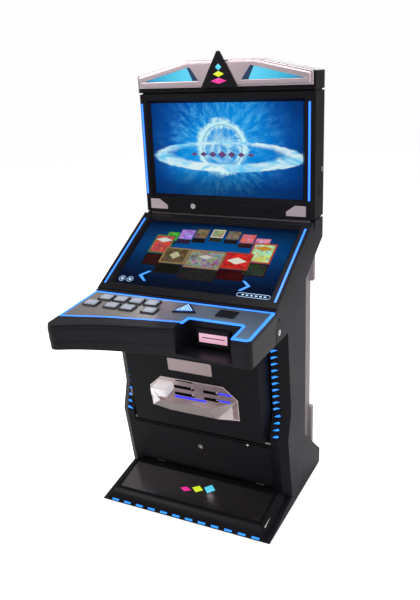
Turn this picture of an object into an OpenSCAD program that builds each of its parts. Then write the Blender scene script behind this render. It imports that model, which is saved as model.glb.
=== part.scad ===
// Twin-screen amusement machine: a steel core with black side panels, a sloping main screen,
// an upright upper screen, a crowned top sign, a button deck, two front doors and a foot.
// X runs left to right as a player sees it, Y runs towards the rear, Z is up.
// Working coordinates put Y = 0 on the rear face; placed() moves them to the base centre.

/* [Cabinet] */
// Overall width across the two side panels
body_w = 688; // [650:1:840]
// Height of the rear edge of the button deck
deck_h = 828.5; // [700:0.5:1000]
// Thickness of a side panel
panel_t = 18; // [12:1:22]
// Sheet thickness of the steel core
core_t = 3; // [2:0.5:5]
// Gap left between neighbouring covers
seam = 0.5; // [0.4:0.1:1.5]
// Clearance of the floor under the covers
floor_gap = 5; // [4:1:12]
// How far the waist of the cabinet is cut in at the rear
waist_in = 190; // [120:5:220]

/* [Front profile] */
// Depth of the side panels where they meet the deck
front_top_y = 376; // [360:1:400]
// Depth of the side panels at the knee
knee_y = 345; // [335:1:360]
// Height of the knee above the floor
knee_z = 408; // [380:1:430]
// Depth of the side panels at the shin
shin_y = 376; // [360:1:390]
// Height of the shin above the floor
shin_z = 305; // [295:1:320]
// Depth of the side panels at the ankle
ankle_y = 334; // [325:1:345]
// Height of the ankle above the floor
ankle_z = 46; // [40:1:56]
// Depth of the toe of the foot
toe_y = 567; // [540:1:640]
// How far the cheeks stand in front of the side panels
cheek_out = 21; // [16:1:26]
// Width of the flat front of a cheek
cheek_flat = 30; // [24:1:36]
// Width of the slanted outer face of a cheek
cheek_slant = 30; // [24:1:40]

/* [Screens] */
// Visible width of each screen
screen_w = 598; // [500:1:600]
// Visible height of each screen
screen_h = 336; // [300:1:340]
// Flare of the recess round the lower screen
lid_flare = 10; // [6:1:11]
// Border of a display panel outside its picture
lcd_border = 11; // [8:1:12]
// Thickness of a display panel
lcd_t = 20; // [12:1:24]
// Thickness of a cover glass
glass_t = 4; // [3:0.5:6]
// Width of a long light strip
strip_w = 9; // [6:1:12]
// Depth of a light strip in its groove
strip_d = 4; // [3:0.5:6]

/* [Sloping lid] */
// Length of the lid along its slope
lid_len = 410; // [400:1:520]
// Slope of the lid above the horizontal
lid_slope = 29.4; // [20:0.1:40]
// Depth of the side skirts of the lid
lid_skirt = 34; // [30:1:40]
// Depth of the lower glass below the lid face
lid_sink = 12; // [8:1:16]
// Depth from the rear face to the rear edge of the lid
lid_back_y = 117; // [112:1:126]
// Widest opening of the lid
lid_open = 50; // [30:5:55]

/* [Upper box] */
// Height of the upper box
upper_h = 437; // [425:1:560]
// Depth of the upper box
upper_d = 112; // [100:1:118]
// Depth of the hinged front frame of the upper box
upper_door_d = 50; // [44:1:56]
// Depth of the upper glass behind the frame face
upper_sink = 18; // [12:1:20]
// Flare of the recess round the upper screen
upper_flare = 11; // [6:1:12]
// Height of the upper picture above the bottom of the box
upper_rail = 68; // [64:1:80]
// Width of the bevel down each front edge
edge_bevel = 13; // [8:1:16]

/* [Top sign] */
// Height of the sign case at its ends
sign_end_h = 60; // [50:1:80]
// Height of the sign case at its flat crown
sign_h = 106; // [96:1:120]
// Width of the flat crown
crown_w = 266; // [220:1:300]
// Thickness of the bright sign frame
sign_frame_t = 20; // [14:1:26]
// Height of the triangular plaque
plaque_h = 121; // [110:1:140]
// Width of the triangular plaque at its foot
plaque_w = 142; // [110:1:150]

/* [Deck] */
// Slope of the deck towards the player
deck_slope = 4.56; // [2:0.01:8]
// Depth of the deck at its left end, along its slope
deck_len = 300; // [285:0.5:330]
// Depth of the palm rest at the note pocket, along the deck
rest_len = 206; // [200:1:230]
// Depth of the deck arm on the right, along the deck
arm_len = 214; // [210:1:240]
// Depth of the metal plate at its left end, along the deck
plate_len = 222; // [215:1:226]
// Depth of the metal plate at the note pocket, along the deck
plate_mid = 150; // [145:1:160]
// Height of the upper deck shell
shell_h = 60; // [55:1:70]
// Height of the whole deck front
deck_front_h = 112; // [105:1:125]
// Wall of the deck shells
shell_t = 6; // [4:1:8]
// Left side of the note pocket, from the centre line
pocket_x0 = 84; // [80:1:100]
// Right side of the note pocket, from the centre line
pocket_x1 = 280; // [270:1:284]
// Distance of the pocket's rear wall from the rear edge of the deck
pocket_v = 118; // [112:1:130]
// Floor of the pocket above the underside of the deck
pocket_floor = 8; // [6:1:14]

/* [Buttons] */
// Width of a play button cap
cap_w = 42; // [34:1:44]
// Depth of a play button cap
cap_d = 32; // [26:1:33]
// Clearance round a button cap
cap_gap = 0.6; // [0.4:0.1:1]
// Wall of a button housing
housing_t = 2; // [1.5:0.5:3]
// Flange of a button housing outside its wall
flange = 2.5; // [2:0.5:4]
// Button travel
travel = 3; // [2:0.5:4]
// Distance of the rear row from the rear edge of the deck
row_back = 50; // [46:1:56]
// Distance of the front row from the rear edge of the deck
row_front = 105; // [100:1:112]
// Circumradius of the triangular start button
start_r = 36; // [28:1:38]

/* [Doors] */
// Width of the upper front door
belly_w = 552; // [500:1:560]
// Lean of the upper front door past the vertical
belly_lean = 8; // [4:0.5:9]
// Depth of the lower edge of the upper front door
belly_y = 410; // [408:1:420]
// Height of the lower edge of the upper front door
belly_z = 294; // [290:1:300]
// Width of the bevel down each side of the upper front door
belly_bevel = 14; // [8:1:16]
// Sheet of the doors
door_t = 3; // [2:0.5:4]
// Width of the lower front door
cash_w = 584; // [560:1:590]
// Height of the lower edge of the lower front door
cash_z = 96; // [92:1:102]
// Height of the upper edge of the lower front door
cash_top = 280; // [270:1:284]
// Width of the coin tray opening at its widest
tray_w = 356; // [300:1:370]
// Width of the straight part of the coin tray front
tray_mid = 194; // [160:1:220]
// Reach of the coin tray's upper edge in front of the door
tray_out = 70; // [50:1:80]
// Reach of the coin tray's foot in front of the door
tray_foot = 12; // [8:1:30]
// Radius of a hinge pin
pin_r = 2.5; // [2:0.1:3]
// Running clearance of a hinge pin
pin_fit = 0.06; // [0.03:0.01:0.1]
// Radius of a hinge knuckle
knuckle_r = 4; // [3.6:0.1:5]
// Radius of a lock head
lock_r = 10; // [8:0.5:12]

/* [Foot] */
// Height of the foot plate at its rear edge
kick_back_z = 78; // [74:1:84]
// Height of the foot plate at its front edge
kick_front_z = 50; // [46:1:56]
// Width of the foot plate
kick_w = 580; // [540:1:590]
// Depth of the rear edge of the foot plate
kick_y0 = 388; // [384:1:392]
// Depth of the front edge of the foot plate
kick_y1 = 526; // [500:1:530]
// Number of light windows along the toe
toe_lights_n = 12; // [6:1:16]

/* [Hidden] */
$fn = 48;

half = body_w / 2;
under_z = deck_h - deck_front_h + 1.5;
core_x = half - panel_t - 26;
panel_in = half - panel_t;
deck_edge = 14;
lock_fit = 0.08;
cash_lean = atan2((shin_y - ankle_y), (shin_z - ankle_z));
case_front = -(upper_d - upper_door_d);

lid_rise = lid_len * sin(lid_slope);
lid_run = lid_len * cos(lid_slope);
lid_y = -(lid_back_y + lid_run);
lid_z = deck_h + 7.5;
ledge_z = deck_h + 4;
cab_h = lid_z + lid_rise + 0.5;
deck_y = lid_y - 10;
front_y = deck_y - deck_len * cos(deck_slope) + deck_edge * sin(deck_slope);
base_shift = -front_y / 2;

upper_z = cab_h + 6;
upper_top = upper_z + upper_h;
picture_z = upper_z + upper_rail + screen_h / 2;
sign_z = upper_top + 5;

// Side view outline of the panels, from the deck down to the toe
function front_line(out) = [
  [-front_top_y - out, under_z],
  [-knee_y - out, knee_z],
  [-shin_y - out, shin_z],
  [-ankle_y - out, ankle_z]
];

// Outline moved inwards by d, with mitred corners
function unit(v) = v / norm(v);
function left_of(v) = [-v[1], v[0]];
function inset(pts, d) = [
  for (i = [0 : len(pts) - 1])
    let (
      n = len(pts),
      p = pts[(i + n - 1) % n],
      c = pts[i],
      q = pts[(i + 1) % n],
      a = left_of(unit(c - p)),
      b = left_of(unit(q - c)),
      m = a + b
    )
    c + m * (2 * d / (m * m))
];
function arc(cx, cy, r, a0, a1, n = 8) = [
  for (i = [0 : n]) let (a = a0 + (a1 - a0) * i / n) [cx + r * cos(a), cy + r * sin(a)]
];

// Curve from a to b, drawn towards the corner c
function curve(a, c, b, n = 8) = [
  for (i = [1 : n - 1]) let (t = i / n) (1 - t) * (1 - t) * a + 2 * t * (1 - t) * c + t * t * b
];
function meet(a, slope_a, b, slope_b) =
  let (x = (b[1] - a[1] + tan(slope_a) * a[0] - tan(slope_b) * b[0]) / (tan(slope_a) - tan(slope_b)))
  [x, a[1] + tan(slope_a) * (x - a[0])];

module placed() translate([0, base_shift, 0]) children();

// Extrudes a side view outline of [Y, Z] points from x0 to x1
module side_slab(pts, x0, x1) {
  translate([x0, 0, 0]) rotate([90, 0, 90]) linear_extrude(x1 - x0) polygon(pts);
}

// Extrudes a front view outline of [X, Z] points from y0 to y1
module front_slab(pts, y0, y1) {
  translate([0, y1, 0]) rotate([90, 0, 0]) linear_extrude(y1 - y0) polygon(pts);
}

module both_sides() {
  children();
  mirror([1, 0, 0]) children();
}

module block(x0, x1, y0, y1, z0, z1) {
  translate([x0, y0, z0]) cube([x1 - x0, y1 - y0, z1 - z0]);
}

module rounded(w, d, r) {
  square([w - 2 * r, d], center = true);
  square([w, d - 2 * r], center = true);
  for (x = [-1, 1], y = [-1, 1]) translate([x * (w / 2 - r), y * (d / 2 - r)]) circle(r);
}

module on_lid() translate([0, lid_y, lid_z]) rotate([lid_slope, 0, 0]) children();
module on_deck() translate([0, deck_y, deck_h]) rotate([deck_slope, 0, 0]) children();
module off_deck() rotate([-deck_slope, 0, 0]) translate([0, -deck_y, -deck_h]) children();
module on_belly() translate([0, -belly_y, belly_z]) rotate([90 + belly_lean, 0, 0]) children();
module on_cash() translate([0, cheek_face_y(cash_z), cash_z]) rotate([90 + cash_lean, 0, 0]) children();

/* ---- cabinet ---- */

function panel_profile() = concat(
  [[0, floor_gap], [0, 67], [-waist_in, 67 + waist_in * 0.87]],
  [[-waist_in, deck_h + 25], [0, deck_h + 133], [0, cab_h - seam]],
  [[behind_lid, cab_h - seam], [behind_lid, skirt_z(behind_lid) - seam / cos(lid_slope)]],
  [[skirt_y(ledge_z), ledge_z], [deck_y + seam, ledge_z], [deck_y + seam, under_z]],
  front_line(0),
  [[-toe_y, floor_gap + 3], [-toe_y, floor_gap]]
);

// Rear of the room in which the lid turns
behind_lid = -lid_back_y + 23;

// Underside of the lid's side skirts
function lid_face_z(y) = lid_z + (y - lid_y) * tan(lid_slope);
function skirt_z(y) = lid_face_z(y) - lid_skirt / cos(lid_slope);
function skirt_y(z) = lid_y + (z + lid_skirt / cos(lid_slope) - lid_z) / tan(lid_slope);

panel_hole_y = deck_y + 30;
lower_lock_z = deck_h - 80;

module side_panel() {
  difference() {
    side_slab(panel_profile(), panel_in, half);
    for (z = [-3, 3])
      translate([half - panel_t / 2, panel_hole_y, deck_h - 36 + z])
        rotate([0, 90, 0]) cylinder(r = 3, h = panel_t + 2, center = true);
    translate([half - panel_t / 2, panel_hole_y, deck_h - 36])
      cube([panel_t + 2, 6, 6], center = true);
    translate([half - panel_t / 2, panel_hole_y, lower_lock_z])
      rotate([0, 90, 0]) cylinder(r = lock_r + lock_fit, h = panel_t + 2, center = true);
  }
}

module left_side_panel() color([0.06, 0.05, 0.07]) placed() mirror([1, 0, 0]) side_panel();
module right_side_panel() color([0.06, 0.05, 0.07]) placed() side_panel();

cheek_x = half - cheek_slant - cheek_flat;
dash_rise = 15;
dash_w = 7;
dash_l = cheek_flat - 1.5;
upper_dashes = 11;
lower_dashes = 4;

// Solid between the side panel's front and the cheek's own front, with a slanted outer face
module cheek_solid() {
  back = front_line(0);
  front = front_line(cheek_out);
  n = len(back);
  side_slab(concat(back, [for (i = [n - 1 : -1 : 0]) front[i]]), cheek_x, half - cheek_slant);
  pts = concat(
    [for (p = back) [half - cheek_slant, p[0], p[1]]],
    [for (p = front) [half - cheek_slant, p[0], p[1]]],
    [for (p = back) [half, p[0], p[1]]]
  );
  walls = [for (i = [0 : n - 2], k = [0 : 2]) let (a = k * n + i, b = ((k + 1) % 3) * n + i) [a, b, b + 1, a + 1]];
  polyhedron(pts, concat(walls, [[0, 2 * n, n], [n - 1, 2 * n - 1, 3 * n - 1]]), convexity = 4);
}

function along(pts, i, f) = pts[i] + f * (pts[i + 1] - pts[i]);

// Places a slanted light window at fraction f of cheek segment i
module at_dash(i, f) {
  line = front_line(cheek_out);
  p = along(line, i, f);
  q = line[i + 1] - line[i];
  lean = atan2(q[0], -q[1]);
  translate([cheek_x + cheek_flat / 2, p[0], p[1]])
    rotate([90 - lean, 0, 0])
      rotate([0, 0, atan2(dash_rise, cheek_flat)])
        children();
}

module each_dash() {
  for (k = [0 : upper_dashes - 1]) at_dash(0, 0.125 + 0.83 * k / (upper_dashes - 1)) children();
  for (k = [0 : lower_dashes - 1]) at_dash(1, 0.17 + 0.7 * k / (lower_dashes - 1)) children();
}

module dash_lens(grow) {
  translate([0, 0, -strip_d / 2 + grow / 2])
    cube([dash_l + grow, dash_w + grow, strip_d + grow], center = true);
}

module cheek() {
  difference() {
    cheek_solid();
    each_dash() dash_lens(0.6);
  }
}

module left_cheek() color([0.05, 0.05, 0.06]) placed() mirror([1, 0, 0]) cheek();
module right_cheek() color([0.05, 0.05, 0.06]) placed() cheek();
module cheek_lights() color([0.15, 0.5, 1]) placed() both_sides() each_dash() dash_lens(0);

rear_door_x = core_x - 26;
rear_door_z0 = 64;
rear_door_z1 = deck_h - 60;
rear_t = 12;
rear_pin_y = -4.5;
rear_turn = 6.5;
shelf_z = belly_z - 9;
core_back = -1;

function core_profile() = concat(
  [[core_back, floor_gap + 5], [core_back, cab_h - 8], [-lid_back_y + 22, cab_h - 8]],
  [[-lid_back_y + 22, core_slope_z(-lid_back_y + 22)], [core_slope_y(ledge_z - 14), ledge_z - 14]],
  [[deck_y + 30, ledge_z - 14], [deck_y + 30, ledge_z - 8], [deck_y + 4, ledge_z - 8], [deck_y + 4, under_z + 6], [-front_top_y + 2, under_z + 6]],
  [[-knee_y + 2, knee_z], [-shin_y + 2, shin_z], [-ankle_y + 2, ankle_z + 8], [-ankle_y + 2, floor_gap + 5]]
);
core_drop = lid_sink + glass_t + lcd_t + 8;
function core_slope_z(y) = lid_face_z(y) - core_drop / cos(lid_slope);
function core_slope_y(z) = lid_y + (z + core_drop / cos(lid_slope) - lid_z) / tan(lid_slope);

module core_shell() color([0.62, 0.62, 0.65]) placed() {
  difference() {
    union() {
      both_sides() {
        // side wall and the rails that carry the side panels
        side_slab(core_profile(), core_x - core_t, core_x);
        block(core_x, panel_in, -waist_in + 4, -waist_in + 40, 250, deck_h - 10);
        block(core_x, panel_in, -20, core_back, floor_gap + 5, 64);
        block(core_x, core_x + 15, -24, core_back, floor_gap + 5, 262);
        block(core_x, core_x + 17, -24, core_back, deck_h - 36, deck_h + 134);
        block(core_x, panel_in, -20, core_back, deck_h + 140, cab_h - 8);
        block(core_x, panel_in, -ankle_y + 6, -20, floor_gap + 5, floor_gap + 30);
        block(core_x, panel_in, -ankle_y + 4, -ankle_y + 30, 120, under_z - 20);
        block(core_x, panel_in, -front_top_y - 44, -front_top_y, deck_h - 90, deck_h - 20);
        // front flange that the cheeks and doors close against
        side_slab(
          concat(front_line(0), [for (i = [3 : -1 : 0]) front_line(-core_t)[i]]),
          cheek_x - 14, panel_in
        );
        // rear frame
        block(rear_door_x + 4.5, core_x, -rear_t - 2 - core_t, core_back, floor_gap + 5, cab_h - 8);
      }
      // floor, shelf, rear cross members, top plate and the lid's ledge
      block(-core_x, core_x, -ankle_y, core_back, floor_gap + 5, floor_gap + 5 + core_t);
      block(-core_x, core_x, -shin_y + 4, -40, shelf_z, shelf_z + core_t);
      block(-core_x, core_x, -rear_t - 2 - core_t, core_back, floor_gap + 5, rear_door_z0 - 1);
      block(-core_x, core_x, -core_t - 1, core_back, rear_door_z1 + 1, cab_h - 8);
      block(-panel_in, panel_in, -lid_back_y + 24, core_back, cab_h - 8 - core_t, cab_h - 0.5);
      block(-core_x, core_x, deck_y + 4, deck_y + 30, ledge_z - 8 - core_t, ledge_z - 8);
      block(-panel_in, panel_in, deck_y + seam, lid_y + 14, ledge_z - 8, ledge_z);
      // strip between the two front doors
      block(-cheek_x + 1, cheek_x - 1, -shin_y - 14, -shin_y + 4, cash_top + 3, belly_z - 3);
      // lid lugs
      for (x = [-1, 1]) lid_lug(x);
      // upper front door leaves and knuckles
      for (z = belly_hinge_z) belly_leaf(z + hinge_len / 2 + 0.5, z + hinge_len);
      // lower front door knuckles
      for (x = [-1, 1]) translate([x * cash_hinge_x, 0, 0]) cash_root_knuckle();
      // rear door knuckles
      for (z = rear_hinge_z) rear_root_knuckle(z + hinge_len / 2 + 0.5);
    }
    hinge_bores();
    // openings for the fan, the inlet and the air
    translate([fan_x, 0, fan_z]) rotate([90, 0, 0]) cylinder(d = fan_d - 8, h = 20, center = true);
    translate([inlet_x, -2, inlet_z]) cube([inlet_w + 0.6, 44, inlet_h + 0.6], center = true);
  }
}

/* ---- hinges ---- */

hinge_len = 60;
belly_pin_x = -(belly_w / 2 + knuckle_r + seam / 2);
belly_pin_y = -(shin_y + cheek_out + 8);
belly_hinge_z = [belly_z + 60, under_z - 110];
cash_pin_y = cheek_face_y(cash_z) + 5;
cash_pin_z = cash_z - 6;
cash_hinge_x = cash_w / 2 - 80;
rear_pin_x = -(rear_door_x + 0.2);
rear_hinge_z = [rear_door_z0 + 60, rear_door_z1 - 120];
lid_pin_v = lid_len - 12;
lid_pin_w = -12;
lid_lug_x = half - 60;
lid_lug_w = 10;
upper_pin_x = -half + knuckle_r;
upper_pin_y = case_front;
upper_hinge_z = [upper_z + 60, upper_top - 60 - hinge_len];

module pin_z(x, y, z0, z1, r) translate([x, y, z0]) cylinder(r = r, h = z1 - z0);
module pin_x(x0, x1, y, z, r) translate([x0, y, z]) rotate([0, 90, 0]) cylinder(r = r, h = x1 - x0);
module pin_y(x, y0, y1, z, r) translate([x, y0, z]) rotate([-90, 0, 0]) cylinder(r = r, h = y1 - y0);

// Every pin, thickened by grow so that it can also cut its bore
module all_pins(grow) {
  r = pin_r + grow;
  for (z = belly_hinge_z) pin_z(belly_pin_x, belly_pin_y, z, z + hinge_len, r);
  for (z = rear_hinge_z) pin_z(rear_pin_x, rear_pin_y, z, z + hinge_len, r);
  for (x = [-1, 1]) {
    pin_x(x * cash_hinge_x - hinge_len / 2, x * cash_hinge_x + hinge_len / 2, cash_pin_y, cash_pin_z, r);
    on_lid() pin_x(x * lid_lug_x - 20, x * lid_lug_x + 20, lid_pin_v, lid_pin_w, r);
  }
  for (z = upper_hinge_z) pin_z(upper_pin_x, upper_pin_y, z, z + hinge_len, r);
}

module hinge_bores() all_pins(pin_fit);
module hinge_pins() color([0.75, 0.75, 0.78]) placed() all_pins(0);

module belly_leaf(z0, z1) {
  pin_z(belly_pin_x, belly_pin_y, z0, z1, knuckle_r);
  block(belly_pin_x - 2.5, belly_pin_x - 0.5, belly_pin_y, -knee_y + 2, z0, z1);
  block(belly_pin_x - 2.5, belly_pin_x + 14, -knee_y, -knee_y + 2, z0, z1);
}

module cash_root_knuckle() {
  pin_x(0.5, hinge_len / 2, cash_pin_y, cash_pin_z, knuckle_r);
  block(0.5, hinge_len / 2, cash_pin_y, -ankle_y + 2, cash_pin_z - 4, cash_pin_z - 1);
}

module rear_root_knuckle(z0) {
  pin_z(rear_pin_x, rear_pin_y, z0, z0 + hinge_len / 2 - 0.5, 3.5);
  block(rear_pin_x - 6, rear_pin_x - 1, rear_pin_y - 3, rear_pin_y + 1, z0, z0 + hinge_len / 2 - 0.5);
}

module lid_lug(side) {
  pv = lid_y + lid_pin_v * cos(lid_slope) - lid_pin_w * sin(lid_slope);
  pz = lid_z + lid_pin_v * sin(lid_slope) + lid_pin_w * cos(lid_slope);
  pin_x(side * lid_lug_x - lid_lug_w / 2, side * lid_lug_x + lid_lug_w / 2, pv, pz, 6);
  block(side * lid_lug_x - lid_lug_w / 2, side * lid_lug_x + lid_lug_w / 2, pv, -lid_back_y + 26, pz - 6, pz + 4);
  block(side * lid_lug_x - lid_lug_w / 2, side * lid_lug_x + lid_lug_w / 2,
    -lid_back_y + 24, -lid_back_y + 40, pz - 6, cab_h - 8);
}

/* ---- foot ---- */

foot_x = half - 3;
rim = 10;
function foot_top(y) = kick_front_z + (kick_back_z - kick_front_z) * (-y - kick_y1) / (kick_y0 - kick_y1);

// Cuts the end of the foot down to the lower edge of the side panel
foot_rim_x = kick_w / 2 + 12;
foot_drop = 37;
module foot_end() {
  tip = panel_in + 1;
  ends = [-ankle_y + 20, -toe_y - 20];
  polyhedron(
    [for (y = ends, k = [0 : 3]) let (z = foot_top(y))
      [[foot_rim_x, y, z], [tip, y, z - foot_drop], [tip, y, z + 60], [foot_rim_x, y, z + 60]][k]],
    [[0, 1, 2, 3], [7, 6, 5, 4], [0, 4, 5, 1], [1, 5, 6, 2], [2, 6, 7, 3], [3, 7, 4, 0]]
  );
}

module plinth() color([0.05, 0.05, 0.06]) placed() {
  difference() {
    side_slab([
      [-ankle_y - 6, floor_gap], [-ankle_y - 6, kick_back_z - 2], [-kick_y0 + rim, kick_back_z - 2],
      [-kick_y0 + rim, foot_top(-kick_y0)], [-kick_y1 - rim, foot_top(-kick_y1 - rim) + 3],
      [-toe_y + 14, kick_front_z - 12], [-toe_y, floor_gap]
    ], -panel_in + seam, panel_in - seam);
    both_sides() {
      foot_end();
      // room for the lower end of the cheek
      block(cheek_x - seam, half + 1, cheek_face_y(kick_back_z) - seam, -300, ankle_z - seam, kick_back_z + 1);
    }
    // seat of the foot plate
    side_slab([
      [-kick_y0, foot_top(-kick_y0) - 4], [-kick_y0, foot_top(-kick_y0) + 9],
      [-kick_y1, foot_top(-kick_y1) + 9], [-kick_y1, foot_top(-kick_y1) - 4]
    ], -kick_w / 2 - seam, kick_w / 2 + seam);
    // hollow underside
    side_slab([
      [-ankle_y - 12, floor_gap - 1], [-ankle_y - 12, kick_back_z - 14],
      [-kick_y1, kick_front_z - 12], [-toe_y + 24, floor_gap + 12], [-toe_y + 24, floor_gap - 1]
    ], -panel_in + 14, panel_in - 14);
    each_toe_light() toe_lens(0.6);
  }
}

module kick_plate() color([0.5, 0.5, 0.52]) placed()
  side_slab([
    [-kick_y0 - seam, foot_top(-kick_y0 - seam) - 4], [-kick_y0 - seam, foot_top(-kick_y0 - seam) - 1],
    [-kick_y1 + seam, foot_top(-kick_y1 + seam) - 1], [-kick_y1 + seam, foot_top(-kick_y1 + seam) - 4]
  ], -kick_w / 2, kick_w / 2);

toe_lean = atan2(14, kick_front_z - 12 - floor_gap);
toe_dash = 29;
module each_toe_light() {
  span = kick_w;
  for (k = [0 : toe_lights_n - 1])
    translate([-span / 2 + span * k / (toe_lights_n - 1), -toe_y + 3, floor_gap + 7])
      rotate([90 - toe_lean, 0, 0]) children();
}
module toe_lens(grow) translate([0, 0, -2 + grow / 2]) cube([toe_dash + grow, 7 + grow, 4 + grow], center = true);
module toe_lights() color([0.15, 0.5, 1]) placed() each_toe_light() toe_lens(0);

module levelling_feet() color([0.2, 0.2, 0.2]) placed()
  for (x = [-1, 1], y = [-60, -ankle_y + 70]) translate([x * (core_x - 40), y, 0]) {
    cylinder(r = 20, h = floor_gap - 1);
    cylinder(r = 6, h = floor_gap + 5);
  }

/* ---- deck ---- */

corner = 26;
arm_corner = 18;
rest_corner = 10;
rest_steep = 27;
rest_flat = 7;

// Plan outline of the deck in its own slope, rear edge at 0
function deck_outline(pocket = true) =
  let (
    left = arc(-half + corner, -deck_len + corner, corner, 180, 270 + rest_steep),
    right = arc(pocket_x0 - rest_corner, -rest_len + rest_corner, rest_corner, 270 + rest_flat, 360),
    a = left[len(left) - 1],
    b = right[0]
  )
  concat(
    [[-half, 0]],
    left,
    curve(a, meet(a, rest_steep, b, rest_flat), b),
    pocket ? concat(right, [[pocket_x0, -pocket_v], [pocket_x1, -pocket_v], [pocket_x1, -arm_len]]) : [b],
    arc(half - arm_corner, -arm_len + arm_corner, arm_corner, 270, 360),
    [[half, 0]]
  );

// Centre line of the light strip that frames the metal plate
strip_in = 7;
function strip_line() = [
  [-half + strip_in, -strip_in], [-half + strip_in, -plate_len],
  [-half / 2, -(plate_len + plate_mid) / 2 + 1], [pocket_x0 + 2, -plate_mid], [pocket_x0 + 6, -pocket_v + 4],
  [pocket_x1 - 4, -pocket_v + 4], [pocket_x1 + 6, -pocket_v - 6],
  [pocket_x1 + 5, -arm_len + 7], [half - strip_in - 8, -arm_len + 7],
  [half - strip_in, -arm_len + 15], [half - strip_in, -strip_in]
];

deck_top_t = 8;
plate_t = 2.5;
button_x = [-264, -204, -142, -81, -289, -206.5, -143, -59];
module at_button(i) translate([button_x[i], i < 4 ? -row_back : -row_front, 0]) children();
module each_button() for (i = [0 : 7]) at_button(i) children();
start_at = [52, -61];
module at_start() translate([start_at[0], start_at[1], 0]) rotate([0, 0, 101]) children();
reader_at = [199, -57];
reader_w = 66;
reader_d = 46;
hole_w = cap_w + 2 * (cap_gap + housing_t + seam / 2);
hole_d = cap_d + 2 * (cap_gap + housing_t + seam / 2);
start_hole = start_r + 2 * (cap_gap + housing_t + seam / 2);

module deck_holes() {
  each_button() square([hole_w, hole_d], center = true);
  at_start() circle(start_hole, $fn = 3);
  translate(reader_at) square([reader_w - 16, reader_d - 16], center = true);
}

module deck_upper_shell() color([0.06, 0.06, 0.07]) placed() on_deck() difference() {
  union() {
    translate([0, 0, -shell_h]) linear_extrude(shell_h - deck_edge) polygon(deck_outline());
    translate([0, 0, -deck_edge]) linear_extrude(deck_edge - 6) polygon(inset(deck_outline(), 1.2));
    translate([0, 0, -6]) linear_extrude(6) polygon(inset(deck_outline(), 3.5));
  }
  translate([0, 0, -shell_h - 1]) linear_extrude(shell_h + 1 - deck_top_t)
    polygon(inset(deck_outline(), shell_t + 2));
  translate([0, 0, -plate_t - 0.5]) linear_extrude(10) polygon(inset(strip_line(), strip_w / 2 - 0.3));
  translate([0, 0, -strip_d]) linear_extrude(10) difference() {
    polygon(inset(strip_line(), -strip_w / 2 - 0.3));
    polygon(inset(strip_line(), strip_w / 2 + 0.3));
  }
  translate([0, 0, -20]) linear_extrude(30) deck_holes();
  deck_rear();
  note_window();
}

// Window for the note acceptor in the pocket's rear wall
note_x = 180;
note_w = 112;
note_z = deck_h - 66;
note_h = 54;
pocket_y = deck_y - pocket_v * cos(deck_slope);
module note_window() {
  off_deck() block(note_x - note_w / 2 - seam, note_x + note_w / 2 + seam, pocket_y - 12, pocket_y + 20,
    note_z - note_h / 2 - seam, note_z + note_h / 2 + seam);
}

// Everything up to the level z
module deck_level(z) {
  off_deck() block(-half - 50, half + 50, deck_y - deck_len - 60, deck_y + 60, z - 200, z);
}

// Upright rear face of the deck and the way through it into the cabinet
module deck_rear() {
  off_deck() {
    block(-half - 1, half + 1, deck_y, deck_y + 60, deck_h - 200, deck_h + 60);
    block(-core_x + 20, core_x - 20, deck_y - 30, deck_y + 1, under_z + 8, deck_h - 18);
  }
}

module deck_lower_shell() color([0.06, 0.06, 0.07]) placed() on_deck() difference() {
  translate([0, 0, -deck_front_h - 20])
    linear_extrude(deck_front_h + 20 - shell_h - seam) polygon(inset(deck_outline(false), 0.8));
  deck_level(deck_h - deck_front_h);
  // hollow inside, above a level floor
  difference() {
    translate([0, 0, -deck_front_h - 20]) linear_extrude(deck_front_h + 30)
      polygon(inset(deck_outline(), shell_t + 2));
    deck_level(deck_h - deck_front_h + 4);
  }
  // the note pocket stays open above its own floor
  difference() {
    translate([pocket_x0 - 0.8, -deck_len - 20, -deck_front_h - 20])
      cube([pocket_x1 - pocket_x0 + 1.6, deck_len + 20 - pocket_v + 0.8, deck_front_h + 30]);
    deck_level(deck_h - deck_front_h + pocket_floor);
  }
  deck_rear();
  note_window();
}

module deck_plate() color([0.66, 0.64, 0.64]) placed() on_deck()
  translate([0, 0, -plate_t - 0.5]) linear_extrude(plate_t) difference() {
    polygon(inset(strip_line(), strip_w / 2 + 0.3));
    deck_holes();
  }

module deck_light_strip() color([0.15, 0.5, 1]) placed() on_deck()
  translate([0, 0, -strip_d]) linear_extrude(strip_d - 0.3) difference() {
    polygon(inset(strip_line(), -strip_w / 2));
    polygon(inset(strip_line(), strip_w / 2));
  }

housing_h = 40;
module button_housings() color([0.03, 0.03, 0.03]) placed() on_deck() {
  each_button() difference() {
    union() {
      translate([0, 0, -housing_h]) linear_extrude(housing_h)
        square([cap_w + 2 * (cap_gap + housing_t), cap_d + 2 * (cap_gap + housing_t)], center = true);
      translate([0, 0, -0.5]) linear_extrude(3.5)
        rounded(hole_w + 2 * flange, hole_d + 2 * flange, 2);
    }
    translate([0, 0, -housing_h + 3]) linear_extrude(housing_h + 10)
      square([cap_w + 2 * cap_gap, cap_d + 2 * cap_gap], center = true);
  }
  at_start() difference() {
    union() {
      translate([0, 0, -housing_h]) linear_extrude(housing_h) circle(start_r + 2 * (cap_gap + housing_t), $fn = 3);
      translate([0, 0, -0.5]) linear_extrude(3.5) circle(start_hole + 2 * flange, $fn = 3);
    }
    translate([0, 0, -housing_h + 3]) linear_extrude(housing_h + 10) circle(start_r + 2 * cap_gap, $fn = 3);
  }
}

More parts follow.
